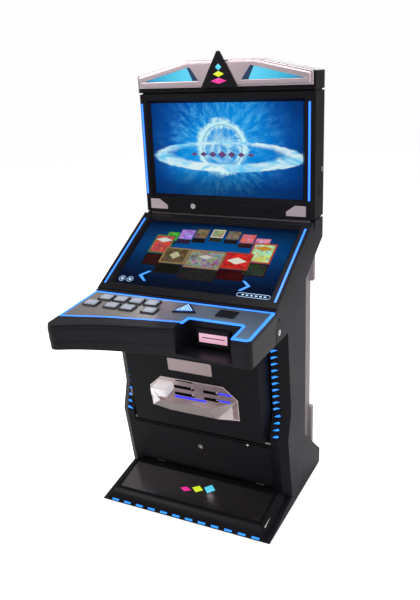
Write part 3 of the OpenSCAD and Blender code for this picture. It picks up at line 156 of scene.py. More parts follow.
class Finish:
    """A material and the nodes that give it its look."""

    def __init__(self, name, **sockets):
        self.material = bpy.data.materials.new(name)
        self.material.use_nodes = True
        self.tree = self.material.node_tree
        self.shader = self.tree.nodes["Principled BSDF"]
        self.place = self.add("ShaderNodeTexCoord").outputs["Object"]
        self.set(**sockets)

    def add(self, kind, **settings):
        node = self.tree.nodes.new(kind)
        for key, value in settings.items():
            setattr(node, key, value)
        return node

    def feed(self, socket, value):
        if isinstance(value, bpy.types.NodeSocket):
            self.tree.links.new(value, socket)
        else:
            socket.default_value = value

    def set(self, **sockets):
        for key, value in sockets.items():
            self.feed(self.shader.inputs[key.replace("_", " ")], value)

    def calc(self, operation, *values):
        node = self.add("ShaderNodeMath", operation=operation)
        for socket, value in zip(node.inputs, values):
            self.feed(socket, value)
        return node.outputs[0]

    def plus(self, a, b):
        return self.calc("ADD", a, b)

    def minus(self, a, b):
        return self.calc("SUBTRACT", a, b)

    def times(self, a, b):
        return self.calc("MULTIPLY", a, b)

    def over(self, a, b):
        return self.calc("DIVIDE", a, b)

    def size(self, value):
        return self.calc("ABSOLUTE", value)

    def around(self, value, spread, middle):
        """A number that drifts by spread round its middle."""
        return self.calc("MULTIPLY_ADD", value, spread, middle - spread / 2)

    def vector(self, operation, *values):
        node = self.add("ShaderNodeVectorMath", operation=operation)
        for socket, value in zip(node.inputs, values):
            self.feed(socket, value)
        return node.outputs["Value" if operation == "LENGTH" else "Vector"]

    def split(self, vector):
        node = self.add("ShaderNodeSeparateXYZ")
        self.feed(node.inputs[0], vector)
        return node.outputs[0], node.outputs[1], node.outputs[2]

    def join(self, x, y, z):
        node = self.add("ShaderNodeCombineXYZ")
        for socket, value in zip(node.inputs, (x, y, z)):
            self.feed(socket, value)
        return node.outputs[0]

    def mix(self, factor, a, b, blend="MIX"):
        node = self.add("ShaderNodeMix", data_type="RGBA", blend_type=blend)
        colour_a, colour_b, colour_out = node.inputs[6], node.inputs[7], node.outputs[2]
        self.feed(node.inputs[0], factor)
        self.feed(colour_a, a)
        self.feed(colour_b, b)
        return colour_out

    def toned(self, factor, colour, low, high):
        """A colour that drifts between a darker and a paler tone of itself."""
        return self.mix(factor, rgba(colour, low), rgba(colour, high))

    def ramp(self, factor, *stops):
        node = self.add("ShaderNodeValToRGB")
        bar = node.color_ramp.elements
        while len(bar) < len(stops):
            bar.new(0.5)
        for element, (at, colour) in zip(bar, stops):
            element.position = at
            element.color = (*colour, 1.0)
        self.feed(node.inputs[0], factor)
        return node.outputs[0]

    def fade(self, value, start, end):
        """0 at start and 1 at end, held outside."""
        node = self.add("ShaderNodeMapRange", interpolation_type="SMOOTHSTEP")
        for socket, number in zip(node.inputs, (value, start, end, 0.0, 1.0)):
            self.feed(socket, number)
        return node.outputs[0]

    def noise(self, scale, detail=2.0, where=None, roughness=0.5, distortion=0.0):
        node = self.add("ShaderNodeTexNoise")
        self.feed(node.inputs["Vector"], where or self.place)
        node.inputs["Scale"].default_value = scale
        node.inputs["Detail"].default_value = detail
        node.inputs["Roughness"].default_value = roughness
        node.inputs["Distortion"].default_value = distortion
        return node.outputs[0]

    def local(self, origin, angle):
        """Coordinates in a plane that leans by angle round X at origin."""
        moved = self.vector("SUBTRACT", self.place, tuple(origin))
        node = self.add("ShaderNodeMapping")
        self.feed(node.inputs["Vector"], moved)
        node.inputs["Rotation"].default_value = (-angle, 0, 0)
        return node.outputs[0]

    def bump(self, height, strength, distance=0.2 * MM):
        node = self.add("ShaderNodeBump")
        node.inputs["Strength"].default_value = strength
        node.inputs["Distance"].default_value = distance
        self.feed(node.inputs["Height"], height)
        self.set(Normal=node.outputs[0])

    def effect(self, group, **values):
        node = self.add("ShaderNodeGroup", node_tree=group)
        for key, value in values.items():
            self.feed(node.inputs[key], value)
        return node


def effect_group(name, inputs, outputs):
    """An empty node group with its sockets, and its input and output nodes."""
    group = bpy.data.node_groups.new(name, "ShaderNodeTree")
    for label, kind, value in inputs:
        socket = group.interface.new_socket(label, in_out="INPUT", socket_type=kind)
        if value is not None:
            socket.default_value = value
    for label in outputs:
        group.interface.new_socket(label, in_out="OUTPUT", socket_type="NodeSocketFloat")
    return group, group.nodes.new("NodeGroupInput"), group.nodes.new("NodeGroupOutput")


def grain_group():
    """Fine texture of powder coat and moulded plastic, with broad smears over it."""
    if "Grain" in bpy.data.node_groups:
        return bpy.data.node_groups["Grain"]
    group, given, result = effect_group(
        "Grain",
        [
            ("Place", "NodeSocketVector", None),
            ("Fineness", "NodeSocketFloat", 900.0),
            ("Breadth", "NodeSocketFloat", 6.0),
        ],
        ["Height", "Smear"],
    )
    for source, output, detail in (("Fineness", "Height", 1.0), ("Breadth", "Smear", 4.0)):
        noise = group.nodes.new("ShaderNodeTexNoise")
        noise.inputs["Detail"].default_value = detail
        group.links.new(given.outputs["Place"], noise.inputs["Vector"])
        group.links.new(given.outputs[source], noise.inputs["Scale"])
        group.links.new(noise.outputs[0], result.inputs[output])
    return group


BRUSH_STRETCH = (9.0, 700.0, 700.0)


def brush_group():
    """Long scratches of brushed metal along X."""
    if "Brushing" in bpy.data.node_groups:
        return bpy.data.node_groups["Brushing"]
    group, given, result = effect_group(
        "Brushing",
        [("Place", "NodeSocketVector", None), ("Fineness", "NodeSocketFloat", 1.0)],
        ["Lines", "Cloud"],
    )
    stretch = group.nodes.new("ShaderNodeVectorMath")
    stretch.operation = "MULTIPLY"
    stretch.inputs[1].default_value = BRUSH_STRETCH
    scale = group.nodes.new("ShaderNodeVectorMath")
    scale.operation = "SCALE"
    lines = group.nodes.new("ShaderNodeTexNoise")
    lines.inputs["Scale"].default_value = 1.0
    cloud = group.nodes.new("ShaderNodeTexNoise")
    cloud.inputs["Scale"].default_value = 5.0
    group.links.new(given.outputs["Place"], stretch.inputs[0])
    group.links.new(stretch.outputs[0], scale.inputs[0])
    group.links.new(given.outputs["Fineness"], scale.inputs["Scale"])
    group.links.new(scale.outputs[0], lines.inputs["Vector"])
    group.links.new(given.outputs["Place"], cloud.inputs["Vector"])
    group.links.new(lines.outputs[0], result.inputs["Lines"])
    group.links.new(cloud.outputs[0], result.inputs["Cloud"])
    return group


def coated(name, colour, roughness, fineness=900.0, depth=0.25, coat=0.0):
    """Black paint, laminate or plastic with a fine grain."""
    finish = Finish(name, Coat_Weight=coat, Coat_Roughness=0.2, Specular_IOR_Level=0.13)
    grain = finish.effect(grain_group(), Place=finish.place, Fineness=fineness)
    smear = grain.outputs["Smear"]
    finish.set(Base_Color=finish.toned(smear, colour, 0.75, 1.25))
    finish.set(Roughness=finish.around(smear, 0.16, roughness))
    finish.bump(grain.outputs["Height"], depth)
    return finish.material


def brushed(name, colour, roughness, depth=0.02):
    """Brushed or satin sheet metal."""
    finish = Finish(name, Metallic=1.0)
    brush = finish.effect(brush_group(), Place=finish.place)
    lines = brush.outputs["Lines"]
    finish.set(Base_Color=finish.toned(lines, colour, 0.86, 1.12))
    finish.set(Roughness=finish.around(brush.outputs["Cloud"], 0.12, roughness))
    if depth:
        finish.bump(lines, depth)
    return finish.material


def glowing(name, colour, strength, base=None, roughness=0.3):
    """Lit light guide with a slightly uneven glow; the coin guide and the emblems, which are no
    lamps, take it as painted light.
    """
    finish = Finish(name, Roughness=roughness, Emission_Strength=strength)
    finish.set(Base_Color=rgba(base or colour, 0.5))
    finish.set(Emission_Color=finish.toned(finish.noise(30.0), colour, 0.85, 1.15))
    return finish.material


def strip_light():
    """Long light strips, azure in the middle and deep blue along both edges."""
    finish = Finish("strip_light", Roughness=0.25, Emission_Strength=1.9)
    x = finish.split(finish.place)[0]
    across = finish.size(finish.minus(finish.size(x), STRIP_MIDDLE * MM))
    edge = finish.fade(across, 1.6 * MM, 4.4 * MM)
    azure, deep = (0.035, 0.23, 0.95, 1), (0.004, 0.03, 0.42, 1)
    finish.set(Base_Color=(0.01, 0.05, 0.25, 1), Emission_Color=finish.mix(edge, azure, deep))
    return finish.material


def sign_light():
    """Sign windows: bright cyan beside the dark inner end, deep blue at the tips."""
    finish = Finish("sign_light", Roughness=0.12, Emission_Strength=1.0, Coat_Weight=0.5)
    x, y, z = finish.split(finish.place)
    low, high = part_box("sign_windows")[0].z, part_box("sign_windows")[1].z
    rise = finish.over(finish.minus(z, low), high - low)
    # the dark inner part leans like the window's own end
    inner_end = finish.calc("MULTIPLY_ADD", rise, 22 * MM, 107 * MM)
    inner = finish.minus(finish.size(x), inner_end)
    window_length = 0.21
    colour = finish.ramp(
        finish.over(inner, window_length),
        (0.0, (0.12, 0.62, 0.86)),
        (0.12, (0.10, 0.60, 0.85)),
        (0.42, (0.055, 0.50, 0.72)),
        (0.80, (0.02, 0.30, 0.52)),
        (1.0, (0.004, 0.05, 0.20)),
    )
    dark = finish.fade(inner, 0.0, 2 * MM)
    glow = finish.mix(dark, (0.006, 0.022, 0.055, 1), colour)
    streak = finish.times(finish.noise(26.0, 3.0, distortion=1.5), 0.25)
    finish.set(
        Base_Color=(0.01, 0.03, 0.06, 1),
        Emission_Color=finish.mix(streak, glow, (0.5, 0.9, 1.0, 1), "SOFT_LIGHT"),
    )
    return finish.material


def screen_finish(name):
    """A dark screen that shows only its own light."""
    return Finish(
        name, Roughness=0.4, Specular_IOR_Level=0.0, Emission_Strength=1.0, Base_Color=(0, 0, 0, 1)
    )


def burst_picture():
    """Upper picture: a glowing ring over a tilted disc of light, with rays behind them."""
    finish = screen_finish("burst_picture")
    plus, minus, times, fade = finish.plus, finish.minus, finish.times, finish.fade
    x, y, z = finish.split(finish.place)
    px = minus(x, BURST_X * MM)
    pz = minus(z, UPPER_PICTURE.z + BURST_Z * MM)
    flat = finish.join(px, pz, 0.0)
    radius = finish.vector("LENGTH", flat)

    # rays keep one heading and change slowly along the radius
    heading = finish.split(finish.vector("NORMALIZE", flat))
    ray_place = finish.join(heading[0], heading[1], times(radius, 2.2))
    rays = finish.noise(11.0, 5.0, ray_place, 0.62)
    fine_rays = finish.noise(34.0, 3.0, ray_place, 0.6)
    ray_mix = times(rays, plus(fine_rays, 0.5))
    reach = fade(radius, 0.33, 0.04)
    ray_light = times(fade(ray_mix, 0.40, 0.78), reach)
    sky = finish.ramp(
        plus(times(finish.noise(3.4, 3.0), 0.75), times(reach, 0.42)),
        (0.22, (0.0, 0.02, 0.15)),
        (0.52, (0.0, 0.10, 0.48)),
        (0.90, (0.0, 0.34, 0.88)),
    )
    sky = finish.mix(ray_light, sky, (0.10, 0.58, 1.0, 1))
    foot = fade(pz, -0.04, -0.17)
    corner = fade(radius, 0.16, 0.36)
    dusk = finish.calc("MAXIMUM", times(foot, 0.72), times(corner, 0.55))
    sky = finish.mix(dusk, sky, (0.0, 0.012, 0.07, 1))

    # disc of light, thicker on its near side
    half_width, half_height = 0.305, 0.056
    wisp = finish.noise(16.0, 5.0, roughness=0.65, distortion=1.2)
    ex = finish.over(minus(px, 14 * MM), half_width)
    ez = finish.over(plus(pz, 34 * MM), half_height)
    disc = finish.calc("SQRT", plus(times(ex, ex), times(ez, ez)))
    wobble = plus(disc, times(minus(wisp, 0.5), 0.22))
    near = fade(ez, 0.35, -0.75)
    inner_edge = minus(0.86, times(near, 0.36))
    band = times(fade(minus(wobble, inner_edge), -0.16, 0.05), fade(wobble, 1.02, 0.95))
    inside = fade(wobble, 1.04, 0.9)
    picture = finish.mix(times(inside, 0.35), sky, (0.0, 0.30, 0.80, 1))

    # ring of fire round the middle, with a thin dark thread in it
    fire_radius, thread_radius = 84 * MM, 80 * MM
    flame = finish.noise(13.0, 6.0, roughness=0.68, distortion=2.2)
    lick = plus(radius, times(minus(flame, 0.5), 0.07))
    fire = fade(finish.size(minus(lick, fire_radius)), 26 * MM, 3 * MM)
    core = times(fade(radius, 0.085, 0.02), fade(flame, 0.34, 0.62))
    thread = fade(finish.size(minus(radius, thread_radius)), 4.5 * MM, 1.0 * MM)
    glow = finish.calc("MAXIMUM", times(fire, 0.95), times(core, 0.85))
    picture = finish.mix(glow, picture, (0.62, 0.97, 1.0, 1))
    picture = finish.mix(times(thread, 0.45), picture, (0.0, 0.22, 0.55, 1))

    cloud = finish.noise(24.0, 5.0, finish.join(times(x, 0.35), y, z), 0.7, 1.0)
    haze = finish.mix(fade(cloud, 0.36, 0.62), (0.10, 0.62, 0.98, 1), (0.82, 1.0, 1.0, 1))
    finish.set(Emission_Color=finish.mix(times(band, 0.92), picture, haze))
    return finish.material


def lobby_picture():
    """Lower picture: a plain blue field, bright in its middle, under the row of game tiles."""
    finish = screen_finish("lobby_picture")
    x, v, w = finish.split(finish.local(LID, LID_SLOPE))
    field = finish.ramp(
        finish.over(finish.minus(v, PICTURE_FOOT * MM), PICTURE_HEIGHT * MM),
        (0.0, (0.0, 0.002, 0.010)),
        (0.14, (0.0, 0.006, 0.028)),
        (0.40, (0.0, 0.035, 0.15)),
        (0.62, (0.0, 0.085, 0.31)),
        (0.80, (0.0, 0.055, 0.20)),
        (1.0, (0.0, 0.004, 0.022)),
    )
    edge = finish.fade(finish.size(x), 0.31, 0.05)
    strength = finish.calc("MULTIPLY_ADD", edge, 0.5, 0.5)
    finish.set(Emission_Color=finish.mix(strength, (0, 0.004, 0.02, 1), field))
    return finish.material


def tile_art():
    """Game tiles: the border keeps its colour and the middle is broken up into bright symbols."""
    finish = screen_finish("tile_art")
    shade = finish.add("ShaderNodeAttribute", attribute_name="shade")
    place = finish.local(LID, LID_SLOPE)
    cells = finish.add("ShaderNodeTexVoronoi")
    finish.feed(cells.inputs["Vector"], place)
    cells.inputs["Scale"].default_value = 62.0
    cloud = finish.noise(75.0, 3.0, place, 0.6, 1.0)
    art = finish.mix(0.55, shade.outputs["Color"], cells.outputs["Color"], "OVERLAY")
    art = finish.mix(finish.fade(cloud, 0.42, 0.66), art, shade.outputs["Color"], "SCREEN")
    finish.set(Emission_Color=finish.mix(shade.outputs["Alpha"], shade.outputs["Color"], art))
    return finish.material


def core_paint():
    """Grey steel core, black in a band where it shows between the deck and the lid."""
    finish = Finish("core_paint", Specular_IOR_Level=0.3)
    grain = finish.effect(grain_group(), Place=finish.place, Fineness=900.0)
    smear = grain.outputs["Smear"]
    x, y, z = finish.split(finish.place)

    def within(value, middle, reach):
        return finish.fade(finish.size(finish.minus(value, middle)), reach, reach - 2 * MM)

    # black band round the gap between the deck and the lid
    near = within(y, LID.y + 15 * MM, 62 * MM)
    level = within(z, LID.z - 12 * MM, 34 * MM)
    grey = finish.toned(smear, colours().core, 0.75, 1.25)
    finish.set(
        Base_Color=finish.mix(finish.times(near, level), grey, rgba(colours().paint)),
        Roughness=finish.around(smear, 0.16, 0.45),
    )
    finish.bump(grain.outputs["Height"], 0.2)
    return finish.material


def clear_glass():
    """Thin clear panes with faint smears."""
    finish = Finish("clear_glass", Alpha=0.05, Base_Color=(0.02, 0.02, 0.03, 1))
    grain = finish.effect(grain_group(), Place=finish.place, Breadth=4.0)
    finish.set(Roughness=finish.around(grain.outputs["Smear"], 0.05, 0.035))
    return finish.material


def cap_plastic():
    """Translucent button caps with a cloudy tone, glowing faintly in that tone as painted light."""
    # the faint emission of the caps' own grey tone is painted light, not a lamp
    finish = Finish("cap_plastic", Roughness=0.22, Coat_Weight=0.4, Emission_Strength=0.10)
    tone = finish.toned(finish.noise(45.0), colours().cap, 0.85, 1.2)
    finish.set(Base_Color=tone, Emission_Color=tone)
    finish.bump(finish.noise(700.0, 1.0), 0.05)
    return finish.material


def start_plastic():
    """Blue start button, lit from below in patches."""
    finish = Finish("start_plastic", Roughness=0.2, Coat_Weight=0.5, Emission_Strength=0.5)
    patch = finish.fade(finish.noise(60.0, 3.0, distortion=1.5), 0.35, 0.65)
    tone = finish.mix(patch, (0.02, 0.06, 0.42, 1), (0.08, 0.30, 0.85, 1))
    finish.set(Base_Color=tone, Emission_Color=tone)
    return finish.material


def polished(name, colour, roughness):
    """Chrome or bare steel with faint clouds."""
    finish = Finish(name, Metallic=1.0)
    cloud = finish.noise(120.0, 3.0)
    finish.set(Base_Color=finish.toned(cloud, colour, 0.9, 1.1))
    finish.set(Roughness=finish.around(cloud, 0.1, roughness + 0.02))
    return finish.material


def worn_plate():
    """Satin metal as on the coin tray: its blotchy colour is a painted sheen, its uneven roughness
    is wear.
    """
    finish = Finish("worn_plate", Metallic=0.45)
    cloud = finish.noise(18.0, 5.0, roughness=0.7)
    # one cloud gives a painted sheen in the colour and wear in the roughness and bump
    finish.set(
        Base_Color=finish.mix(cloud, (0.62, 0.52, 0.50, 1), (0.95, 0.84, 0.82, 1)),
        Roughness=finish.around(cloud, 0.2, 0.32),
    )
    finish.bump(cloud, 0.08)
    return finish.material


OWN_FINISHES = {
    maker.__name__: maker
    for maker in (
        strip_light, sign_light, burst_picture, lobby_picture, tile_art, core_paint, clear_glass,
        cap_plastic, start_plastic, worn_plate,
    )
}
FINISHES = {}


def finish(name):
    """The material of that name, built on first use."""
    if name in FINISHES:
        return FINISHES[name]
    if name in OWN_FINISHES:
        FINISHES[name] = OWN_FINISHES[name]()
        return FINISHES[name]
    c = colours()
    kinds = {
        # colour, roughness, fineness and depth of the grain, clear coat
        coated: {
            "paint": (c.paint, 0.40, 1100.0, 0.3),
            "laminate": (c.laminate, 0.42, 700.0, 0.3),
            "moulding": (c.moulding, 0.36, 1300.0, 0.3, 0.15),
            "gloss_black": ((0.008, 0.008, 0.010), 0.18, 1300.0, 0.05, 0.3),
            "dark_plastic": ((0.012, 0.012, 0.014), 0.5, 900.0, 0.3),
            "box_paint": ((0.10, 0.10, 0.11), 0.4, 900.0, 0.2),
            "feet_rubber": ((0.02, 0.02, 0.02), 0.7, 500.0, 0.4),
            # black for slots; on the payout slots and the louvres it is painted shade for openings
            "slot_black": ((0.003, 0.003, 0.004), 0.6, 900.0, 0.1),
        },
        # colour, roughness, depth of the brushing
        brushed: {
            "bright": (c.bright, 0.34),
            "steel": (c.steel, 0.3, 0),
            "plate_metal": ((0.42, 0.34, 0.345), 0.35),
            # the deck's steel at half brightness: painted shade on the foot plate
            "foot_steel": ((0.26, 0.24, 0.245), 0.2),
        },
        # colour, roughness
        polished: {
            "chrome": ((0.82, 0.80, 0.82), 0.12),
            "pin_steel": ((0.6, 0.6, 0.62), 0.3),
        },
        # colour, strength, colour when unlit, roughness
        glowing: {
            "edge_light": (c.azure, 1.9),
            "dash_light": ((0.02, 0.25, 0.95), 1.3),
            "note_light": (c.pink, 0.62, (0.8, 0.6, 0.7), 0.12),
            # the coin guide is no lamp: its glow is a painted highlight on polished white
            "white_guide": ((0.95, 0.94, 0.95), 0.35, (1.8, 1.75, 1.78)),
            # the emblems are print, no lamp: their glow is painted light
            "emblem_cyan": ((0.10, 0.62, 0.86), 0.75),
            "emblem_lime": ((0.66, 0.80, 0.03), 0.75),
            "emblem_rose": ((0.80, 0.03, 0.30), 0.75),
            "ice_light": ((0.45, 0.68, 1.0), 1.0),
            "arrow_light": ((0.05, 0.28, 0.95), 1.1),
            "violet": ((0.12, 0.05, 0.20), 0.6),
            "tray_glow": ((0.03, 0.03, 0.9), 1.6),
        },
    }
    for maker, rows in kinds.items():
        if name in rows:
            FINISHES[name] = maker(name, *rows[name])
    return FINISHES[name]


# ---- modelling ----


def deselect():
    if bpy.context.mode != "OBJECT":
        bpy.ops.object.mode_set(mode="OBJECT")
    bpy.ops.object.select_all(action="DESELECT")


def pick(piece):
    deselect()
    piece.select_set(True)
    bpy.context.view_layer.objects.active = piece


def edit_all(piece):
    """Opens a piece in edit mode with all of it selected."""
    pick(piece)
    bpy.ops.object.mode_set(mode="EDIT")
    bpy.ops.mesh.select_all(action="SELECT")


def leave():
    bpy.ops.object.mode_set(mode="OBJECT")


def close_up(piece):
    """Merges doubled points, turns the faces outwards and leaves edit mode."""
    bpy.ops.mesh.select_all(action="SELECT")
    bpy.ops.mesh.remove_doubles(threshold=0.005 * MM)
    bpy.ops.mesh.normals_make_consistent(inside=False)
    leave()


def soften(piece, width, segments=2, limit=30):
    """Rounds the edges of a piece and applies the rounding."""
    pick(piece)
    bevel = piece.modifiers.new("Soft edges", "BEVEL")
    bevel.width = width
    bevel.segments = segments
    bevel.limit_method = "ANGLE"
    bevel.angle_limit = math.radians(limit)
    bevel.harden_normals = False
    bevel.miter_outer = "MITER_ARC" if segments > 1 else "MITER_SHARP"
    bpy.ops.object.modifier_apply(modifier=bevel.name)


def smooth(piece, angle=32):
    pick(piece)
    bpy.ops.object.shade_smooth_by_angle(angle=math.radians(angle))


def hand_over(piece, body, look, replaces=()):
    """Gives a finished piece its material and its body, and hides the CAD nodes it replaces."""
    piece.data.materials.clear()
    piece.data.materials.append(finish(look))
    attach(piece, body)
    if replaces:
        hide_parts(*replaces)
    deselect()
    return piece


def twin(node, name):
    """A copy of a CAD node with a mesh of its own, its doubled points merged."""
    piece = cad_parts[node].copy()
    piece.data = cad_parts[node].data.copy()
    for key in [key for key in piece.keys() if key.startswith("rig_")]:
        del piece[key]
    piece.name = name
    piece.data.name = name
    bpy.context.collection.objects.link(piece)
    edit_all(piece)
    bpy.ops.mesh.remove_doubles(threshold=0.005 * MM)
    leave()
    return piece


def sound(piece):
    """True if every edge joins two faces and no face spreads over a hole."""
    mesh = bmesh.new()
    mesh.from_mesh(piece.data)
    closed = all(len(edge.link_faces) == 2 for edge in mesh.edges)
    flat = sum(face.calc_area() for face in mesh.faces)
    mesh.free()
    piece.data.calc_loop_triangles()
    shown = sum(triangle.area for triangle in piece.data.loop_triangles)
    return closed and abs(shown - flat) < 1e-4 * flat


def refined(node, name, body, look, width, segments=2, limit=30):
    """A piece that stands for a CAD node, with its edges rounded if width is given."""
    for large_faces in (True, False) if width else ():
        piece = twin(node, name)
        edit_all(piece)
        if large_faces:
            bpy.ops.mesh.dissolve_limited(angle_limit=math.radians(0.5))
        else:
            bpy.ops.mesh.tris_convert_to_quads(
                face_threshold=math.radians(0.5), shape_threshold=math.radians(170)
            )
        leave()
        soften(piece, width, segments, limit)
        if sound(piece):
            break
        bpy.data.objects.remove(piece)
    else:
        piece = twin(node, name)
    smooth(piece)
    weigh = piece.modifiers.new("Flat faces first", "WEIGHTED_NORMAL")
    weigh.keep_sharp = True
    bpy.ops.object.modifier_apply(modifier=weigh.name)
    return hand_over(piece, body, look, (node,))


def outlined(points, fill):
    """A flat outline of (x, y) points, filled or open."""
    deselect()
    bpy.ops.mesh.primitive_circle_add(vertices=len(points), fill_type=fill)
    piece = bpy.context.object
    for vertex, (x, y) in zip(piece.data.vertices, points):
        vertex.co = (x, y, 0)
    return piece


def thicken(depth):
    """Draws the flat shape in edit mode down by depth and closes it."""
    bpy.ops.mesh.extrude_region_move(TRANSFORM_OT_translate={"value": (0, 0, -depth)})
    bpy.ops.mesh.select_all(action="SELECT")
    bpy.ops.mesh.normals_make_consistent(inside=False)
    leave()


def plate(name, outline, depth, place, soft=0.0):
    """A plate cut to an outline of (x, y) points, from its face down by depth."""
    piece = outlined(outline, "NGON")
    piece.name = name
    piece.data.name = name
    edit_all(piece)
    thicken(depth)
    if soft:
        soften(piece, soft)
        smooth(piece)
    piece.data.transform(place)
    return piece


def ring_plate(name, outer, inner, depth, place):
    """A flat frame between two outlines of the same number of points."""
    piece = joined(name, [outlined(outer, "NOTHING"), outlined(inner, "NOTHING")])
    edit_all(piece)
    bpy.ops.mesh.bridge_edge_loops()
    bpy.ops.mesh.select_all(action="SELECT")
    thicken(depth)
    piece.data.transform(place)
    return piece


def spun(piece, steps):
    """Turns the profile of a piece once round Z into a closed shape."""
    edit_all(piece)
    bpy.ops.mesh.spin(steps=steps, angle=2 * math.pi, center=(0, 0, 0), axis=(0, 0, 1))
    close_up(piece)
    return piece


def joined(name, pieces):
    """One object made of several."""
    deselect()
    for piece in pieces:
        piece.select_set(True)
    bpy.context.view_layer.objects.active = pieces[0]
    bpy.ops.object.join()
    piece = bpy.context.object
    piece.name = name
    piece.data.name = name
    return piece


def repeated(piece, places):
    """Copies of a piece, one at each place, each with a mesh of its own."""
    copies = []
    for place in places:
        copy = piece.copy()
        copy.data = piece.data.copy()
        copy.data.transform(place)
        bpy.context.collection.objects.link(copy)
        copies.append(copy)
    bpy.data.objects.remove(piece)
    return copies


def round_points(r, n, start=0.0):
    """Points of a circle of radius r round the origin."""
    turns = [start + 2 * math.pi * k / n for k in range(n)]
    return [(r * math.cos(a), r * math.sin(a)) for a in turns]


def box_outline(x, y, w, h):
    """A rectangle round its middle."""
    corners = ((-1, -1), (1, -1), (1, 1), (-1, 1))
    return [(x + i * w / 2, y + j * h / 2) for i, j in corners]


def round_outline(x, y, w, h, r, n=6):
    """A rectangle round its middle, its corners of radius r in n steps each."""
    points = []
    for k, (i, j) in enumerate(((1, 1), (-1, 1), (-1, -1), (1, -1))):
        corner_x, corner_y = x + i * (w / 2 - r), y + j * (h / 2 - r)
        for step in range(n + 1):
            a = math.pi / 2 * (k + step / n)
            points.append((corner_x + r * math.cos(a), corner_y + r * math.sin(a)))
    return points


def lozenge(x, y, w, h):
    return [(x - w / 2, y), (x, y - h / 2), (x + w / 2, y), (x, y + h / 2)]


def mm(points):
    return [(x * MM, y * MM) for x, y in points]


def dress(look, *nodes):
    """Gives CAD nodes their material."""
    for node in nodes:
        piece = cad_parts[node]
        piece.data.materials.clear()
        piece.data.materials.append(finish(look))


# ---- operators ----


class MachineOperator:
    bl_options = {"REGISTER", "UNDO"}


class FinishInside(MachineOperator, bpy.types.Operator):
    """Give the steel core, the inner units and the small fixed parts their finishes"""

    bl_idname = "machine.finish_inside"
    bl_label = "Core and inner units"

    def execute(self, context):
        dress("core_paint", "core_shell")
        dress("feet_rubber", "levelling_feet")
        dress("box_paint", "cash_box", "logic_box", "power_supply")
        dress("dark_plastic", "hopper", "speakers", "fan_frame", "fan_rotor")
        dress("dark_plastic", "mains_inlet", "note_acceptor")
        dress("pin_steel", "hinge_pins", "hopper_disc")
        dress("dash_light", "cheek_lights", "toe_lights")
        dress("edge_light", "deck_light_strip")
        dress("strip_light", "lid_light_strips", "upper_light_strips")
        dress("sign_light", "sign_windows")
        dress("note_light", "note_lens")
        return {"FINISHED"}


class BuildCabinet(MachineOperator, bpy.types.Operator):
    """Side panels, cheeks, rear door and foot with softened edges"""

    bl_idname = "machine.build_cabinet"
    bl_label = "Cabinet panels"

    def execute(self, context):
        edge = sizes().sheet_edge
        for side in ("left", "right"):
            refined(f"{side}_side_panel", f"{side}_panel_soft", "cabinet", "laminate", edge)
            refined(f"{side}_cheek", f"{side}_cheek_soft", "cabinet", "paint", edge)
        refined("plinth", "foot_soft", "cabinet", "paint", edge)
        # the foot plate's steel is darkened as painted shade
        refined("kick_plate", "foot_plate_soft", "cabinet", "foot_steel", sizes().fine_edge)
        refined("rear_door", "rear_door_soft", "rear_door", "core_paint", edge)
        return {"FINISHED"}


class BuildDeck(MachineOperator, bpy.types.Operator):
    """Moulded deck, its metal plate, button housings and reader"""

    bl_idname = "machine.build_deck"
    bl_label = "Button deck"

    def execute(self, context):
        edge = sizes().soft_edge
        refined("deck_upper_shell", "deck_top_soft", "cabinet", "moulding", edge, 3, 24)
        refined("deck_lower_shell", "deck_base_soft", "cabinet", "moulding", edge, 3, 24)
        refined("deck_plate", "deck_plate_soft", "cabinet", "steel", sizes().fine_edge)
        refined("button_housings", "housings_soft", "cabinet", "gloss_black", sizes().fine_edge)
        refined("card_reader", "reader_soft", "cabinet", "gloss_black", sizes().fine_edge)
        window_outline = mm(round_outline(199, -57, 40, 22, 2))
        window = plate("reader_window", window_outline, 0.4 * MM, ON_DECK @ shift(0, 0, 3.2))
        hand_over(window, "cabinet", "slot_black")
        return {"FINISHED"}


class BuildButtons(MachineOperator, bpy.types.Operator):
    """Play button caps and the triangular start button"""

    bl_idname = "machine.build_buttons"
    bl_label = "Buttons"

    def execute(self, context):
        for k in range(1, 9):
            refined(f"button_{k}", f"cap_{k}", f"button_{k}", "cap_plastic", 1.2 * MM, 3)
        refined("start_button", "start_cap", "start_button", "start_plastic", 1.2 * MM, 3)
        on_start = ON_DECK @ shift(52, -61) @ Matrix.Rotation(math.radians(101), 4, "Z")
        for name, outer, inner in (("start_rim", 32, 26.5), ("start_mark", 17, 10.5)):
            outlines = [mm(round_points(r, 3)) for r in (outer, inner)]
            rim = ring_plate(name, *outlines, 1.4 * MM, on_start @ shift(0, 0, 5.4))
            hand_over(rim, "start_button", "ice_light")
        return {"FINISHED"}


